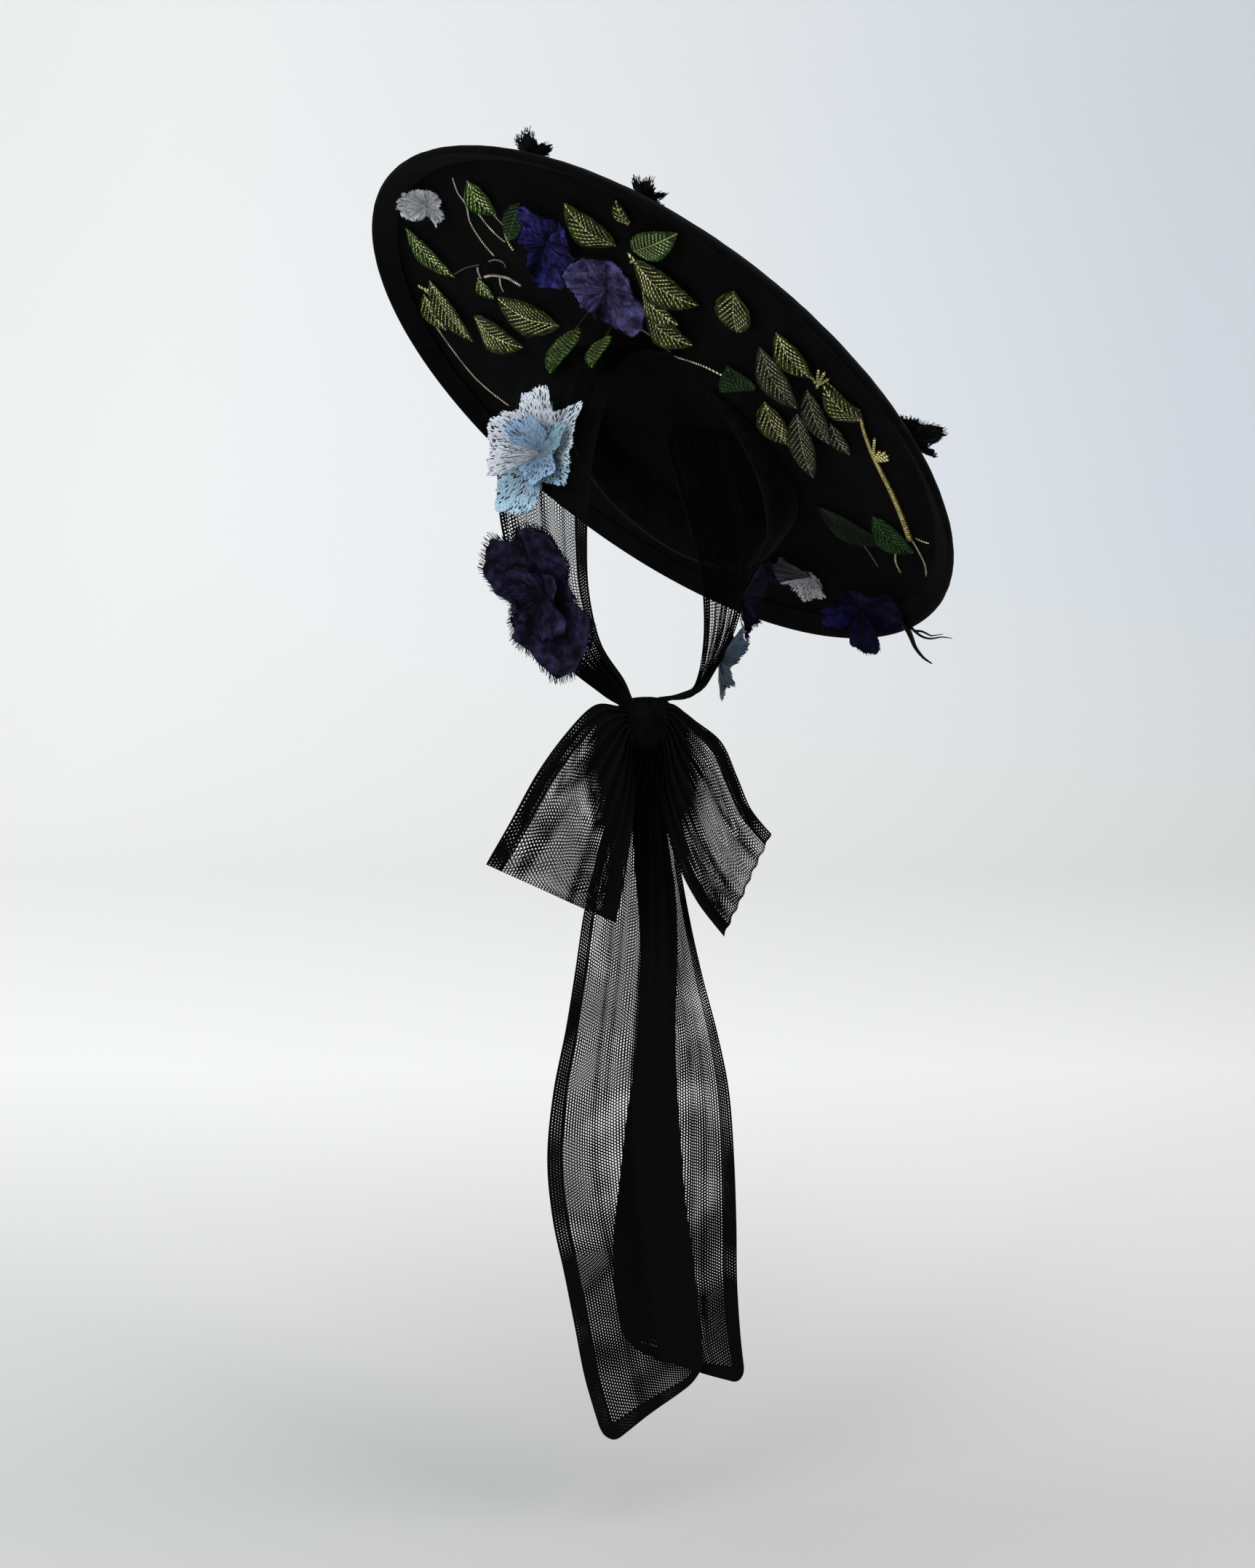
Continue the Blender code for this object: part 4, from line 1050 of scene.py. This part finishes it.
def satin_petals(name):
    """Rows of shiny thread that run out from the middle, with dark gaps between some."""
    made, tree, shader = finish(name, (0.5, 0.5, 0.6), 0.42, Sheen_Weight=0.08,
                                Specular_IOR_Level=0.30)
    lay = node(tree, "UVMap").outputs[0]
    strayed = vectors(tree, "MULTIPLY_ADD", clouds(tree, lay, 260.0, 3.0)["Color"], SATIN_STRAY,
                      lay)
    stitches = node(tree, "Group", {"Vector": strayed, "Pitch": SATIN_THREAD,
                                    "Stitch": SATIN_STITCH}, node_tree=rows_group).outputs
    # the tint attribute carries each petal's thread colour with its painted shade
    tint = node(tree, "Attribute", attribute_name="tint").outputs["Color"]
    steps = node(tree, "ValToRGB", {0: stitches["Tone"]})
    stops = steps.color_ramp.elements
    stops.new(0.5)
    for stop, (spot, tone) in zip(stops, SATIN_TONES):
        stop.position = spot
        stop.color = (tone, tone, tone, 1)
    # painted shade: each row of thread darker towards its edges, lighter on its crown
    lit = ranged(tree, stitches["Height"], 0.10, 0.60, 0.42)
    level = vectors(tree, "SCALE", steps.outputs[0], scale=lit)
    paint(tree, shader, vectors(tree, "MULTIPLY", tint, level))
    bump(tree, shader, stitches["Height"], 0.9, 0.0005)
    ragged_edge(tree, shader, lay, SATIN_THREAD, 0.0019)
    return made


def pile_petals(name, low, high, sheen):
    """Short velvet pile, with painted sheen lighter in patches and painted shade down in its folds.
    """
    made, tree, shader = finish(name, high, 0.8, Sheen_Weight=0.05, Sheen_Roughness=0.3,
                                Sheen_Tint=(*sheen, 1), Specular_IOR_Level=0.05)
    lay = node(tree, "UVMap").outputs[0]
    # painted sheen: the pile lighter in soft patches
    painted_sheen_patches = ranged(tree, clouds(tree, lay, 170.0, 6.0, 0.68)["Fac"], 0.42, 0.70)
    # the tint attribute carries each petal's colour with its painted shade and glints
    tint = node(tree, "Attribute", attribute_name="tint").outputs["Color"]
    paint(tree, shader, vectors(tree, "MULTIPLY", mixed(tree, painted_sheen_patches, low, high), tint))
    bump(tree, shader, clouds(tree, lay, 1500.0, 3.0)["Fac"], 1.0, 0.0006)
    ragged_edge(tree, shader, lay, 0.0007, 0.0011)
    return made


flower_finishes = {
    "satin": satin_petals("satin_stitch"),
    "plum": pile_petals("plum_velvet", (0.0030, 0.0024, 0.007), (0.026, 0.022, 0.060),
                        (0.35, 0.28, 0.75)),
    "violet": pile_petals("violet_velvet", (0.0022, 0.0020, 0.009), (0.046, 0.042, 0.25),
                          (0.30, 0.22, 1.0)),
    "lilac": pile_petals("lilac_organza", (0.016, 0.014, 0.044), (0.125, 0.108, 0.27),
                         (0.5, 0.45, 0.8)),
    "indigo": pile_petals("indigo_velvet", (0.0012, 0.0012, 0.005), (0.009, 0.007, 0.050),
                          (0.25, 0.2, 0.9)),
    "lace": pile_petals("black_lace", (0.0015, 0.0015, 0.0018), (0.008, 0.008, 0.0085),
                        (0.3, 0.3, 0.3)),
}


PETAL_LAP, PETAL_LIFT, PETAL_RUN, PETAL_T = 11.0, 1.1, 26.0, 0.3
FRINGE_GAP, FRINGE_HALF = 0.65, 0.2


def flower_point(outline, size, cup, ruffle, angle, reach):
    radius = between(OUTLINES[outline], angle % 360) * size * reach
    wave = ruffle * math.sin(math.radians(angle) * 5 + 0.7) * reach ** 2
    return Vector((radius * math.cos(math.radians(angle)),
                   radius * math.sin(math.radians(angle)), cup * reach ** 1.6 + wave))


def flower(name, outline, size, cup, ruffle, kind, matrix, fringe=0.0,
           seed=1):
    """All the petals of one flower, each a ruffled sheet over its own share of the outline."""
    chance = random.Random(seed)
    bm = bmesh.new()
    uv = bm.loops.layers.uv.verify()
    tint_and_painted_light_layer = bm.verts.layers.float_color.new("tint")
    rim = bm.verts.layers.float.new("rim")
    cuts = PETAL_CUTS[outline]
    thread = kind == "satin"
    colours = PETAL_TINTS_AND_PAINTED_LIGHT.get(outline, [PEARL if thread else PLAIN] * len(cuts))
    colours = FAR_SIDE_PAINTED_SHADE.get(name, colours)
    for k, (a0, a1) in enumerate(zip(cuts, cuts[1:])):
        lift = PETAL_LIFT * (k % 2)
        broad = math.radians(a1 - a0) * PETAL_RUN * size

        def place(s, t, a0=a0, a1=a1, lift=lift):
            side = abs(2 * s - 1)
            angle = a0 - PETAL_LAP + (a1 - a0 + 2 * PETAL_LAP) * s
            reach = 0.03 + 0.97 * t * (1 - 0.09 * side ** 6)
            spot = flower_point(outline, size, cup, ruffle, angle, reach)
            ripple = size * (0.9 * math.sin(s * 13 + t * 2 + a0) * t
                             + 0.8 * math.sin(s * 29 + 2 * a0) * t ** 2.5)
            spot.z += lift * t + 1.6 * (1 - side ** 2) * t * (1 - t) + ripple
            edge = 0.5 * math.sin(s * broad * 0.9 + a0) * t ** 6
            return spot * (1 + edge / max(spot.length, 6)) * MM

        verts = patch(bm, max(18, int((a1 - a0) / 2.2)), 16, place)
        for vert in verts:
            out = Vector((vert.co.x, vert.co.y, 0)).length
            s, t = vert.link_loops[0][uv].uv
            side = abs(2 * s - 1)
            # painted shade in the petals' colour: satin petals darker towards the middle and at
            # their sides; velvet petals darker towards the middle and down the folds between
            # petals, with painted glints and shade in patches from the noise
            if thread:
                shade = (0.74 + 0.30 * t) * (1 - 0.30 * side ** 6)
            else:
                cloud = noise.noise(vert.co * 110 + Vector((k, seed, 0)))
                shade = (0.30 + 0.70 * t) * (1 - 0.7 * side ** 3) * (1.0 + 1.3 * cloud)
            vert[tint_and_painted_light_layer] = (*(c * max(0.05, shade) for c in colours[k]), 1)
            vert[rim] = (1 - t) * out / max(t, 0.05)
            for loop in vert.link_loops:
                loop[uv].uv = (out, s * broad * MM + k * 0.1)
    area = sum(face.calc_area() for face in bm.faces)
    reach = max(Vector((v.co.x, v.co.y)).length for v in bm.verts)
    if fringe:
        step = 360 * FRINGE_GAP / (2 * math.pi * reach / MM)
        angle = cuts[0]
        while angle < cuts[-1]:
            base = flower_point(outline, size, cup, ruffle, angle, 0.95)
            tip = flower_point(outline, size, cup, ruffle, angle + chance.uniform(-2, 2),
                               1.0 + fringe * chance.uniform(0.4, 1.0))
            tip.z += chance.uniform(-1.2, 1.2)
            aside = (tip - base).cross(Vector((0, 0, 1))).normalized() * FRINGE_HALF
            for vert in patch(bm, 2, 1, lambda s, t, b=base, e=tip, w=aside:
                              (b.lerp(e, s) + w * (2 * t - 1) * (1 - 0.6 * s)) * MM,
                              (0.004, 0.0004)):
                vert[tint_and_painted_light_layer] = (0.12, 0.12, 0.12, 1)
                vert[rim] = 0.01
            angle += step * chance.uniform(0.7, 1.3)
    bmesh.ops.transform(bm, matrix=matrix, verts=bm.verts)
    obj = dress(name + "_petals", bm, flower_finishes[kind], name)
    thicken(obj, PETAL_T)


# name, outline, place x, y and depth on the saucer, way it faces (turn, rise), spin, size, cup,
# ruffle, cloth, slot, fringe
SAUCER_FLOWERS = (
    ("flower_violet_upper", "violet_upper", -116, 22, 7.7, -66, -34, 0, 1.0, 4, 2.2, "violet",
     "petal_violet", 0.04),
    ("flower_violet_lower", "violet_lower", -82, -8, 8.3, -62, -32, 0, 1.0, 4, 2.2, "lilac",
     "petal_lilac", 0.03),
    ("flower_indigo", "indigo", 184, -66, 17.0, -56, -34, 0, 1.05, 5, 2.0, "indigo",
     "petal_indigo", 0.04),
    ("petals_white_left", "wing", 184, -12, 1.6, -64, -42, 20, 1.1, 3, 1.6, "satin",
     "petal_white", 0.0),
    ("petals_lilac_left", "petal", 182, 20, 3.4, -66, -43, 60, 0.95, 3, 1.4, "plum",
     "petal_pale", 0.0),
    ("petals_white_back", "fan_petal", -138, 117, 5.0, -62, -38, 0, 1.0, 3, 1.6, "satin",
     "petal_white", 0.0),
)
# name, outline, turn from the top (+ to the right), y, lift, way it faces (turn, rise), spin,
# size, cup, ruffle, cloth, slot, arm, fringe
ARM_FLOWERS = (
    ("flower_blue_right_back", "blue_back", 63, -13, 4.2, -74, 18, 0, 1.0, 9, 2.2, "satin",
     "petal_pale", "net_arm_right", 0.0),
    ("flower_blue_right_front", "blue_front", 63, -13, 6.0, -74, 18, 0, 1.0, 11, 2.2, "satin",
     "petal_sky", "net_arm_right", 0.0),
    ("flower_plum_right_back", "plum_back", 106, -22, 5.2, -74, -6, 0, 1.0, 9, 2.2, "plum",
     "petal_plum", "net_arm_right", 0.09),
    ("flower_plum_right_front", "plum_front", 106, -22, 7.0, -74, -6, 0, 1.0, 11, 2.2, "plum",
     "petal_plum", "net_arm_right", 0.10),
    ("flower_plum_left", "plum_front", -114, -46, 4.4, 54, -10, 0, 1.15, 8, 2.0, "plum",
     "petal_plum", "net_arm_left", 0.10),
    ("flower_blue_left", "blue_front", -139, -44, 5.1, 54, -14, 0, 1.15, 8, 2.0, "satin",
     "petal_sky", "net_arm_left", 0.0),
)

for seed, row in enumerate(SAUCER_FLOWERS):
    name, shape, x, y, depth, turn, rise, spin, size, cup, ruffle, kind, slot, fringe = row
    flower(name, shape, size, cup, ruffle, kind,
           face_matrix(saucer_turn @ Vector((x, y, -depth)), turn, rise, spin),
           fringe=fringe, seed=seed)
for seed, row in enumerate(ARM_FLOWERS, 20):
    name, shape, down, y, lift, turn, rise, spin, size, cup, ruffle, kind, slot, arm, fringe = row
    flower(name, shape, size, cup, ruffle, kind,
           face_matrix(on_round(down, y, lift), turn, rise, spin),
           fringe=fringe, seed=seed)

# Black net lace flowers are sewn on the plain top face, where they stand up past the edge.
# name, outline, angle round the saucer, radius, size
LACE = (
    ("lace_top_back", "small", 187, 199, 1.0),
    ("lace_top_side", "small", -150, 196, 0.8),
    ("lace_top_low", "torn", -88, 196, 1.25),
)
for seed, (name, shape, angle, radius, size) in enumerate(LACE, 40):
    a = math.radians(angle)
    spot = saucer_axis @ (Vector((radius * math.cos(a), radius * math.sin(a),
                                  SHELL_T + 0.75)) * MM) / MM
    out = saucer_axis.to_3x3() @ Vector((math.cos(a), math.sin(a), 0))
    flower(name, shape, size, 6, 1.6, "lace",
           placed(spot, out, saucer_axis.to_3x3() @ Vector((0, 0, 1))),
           fringe=0.14, seed=seed)
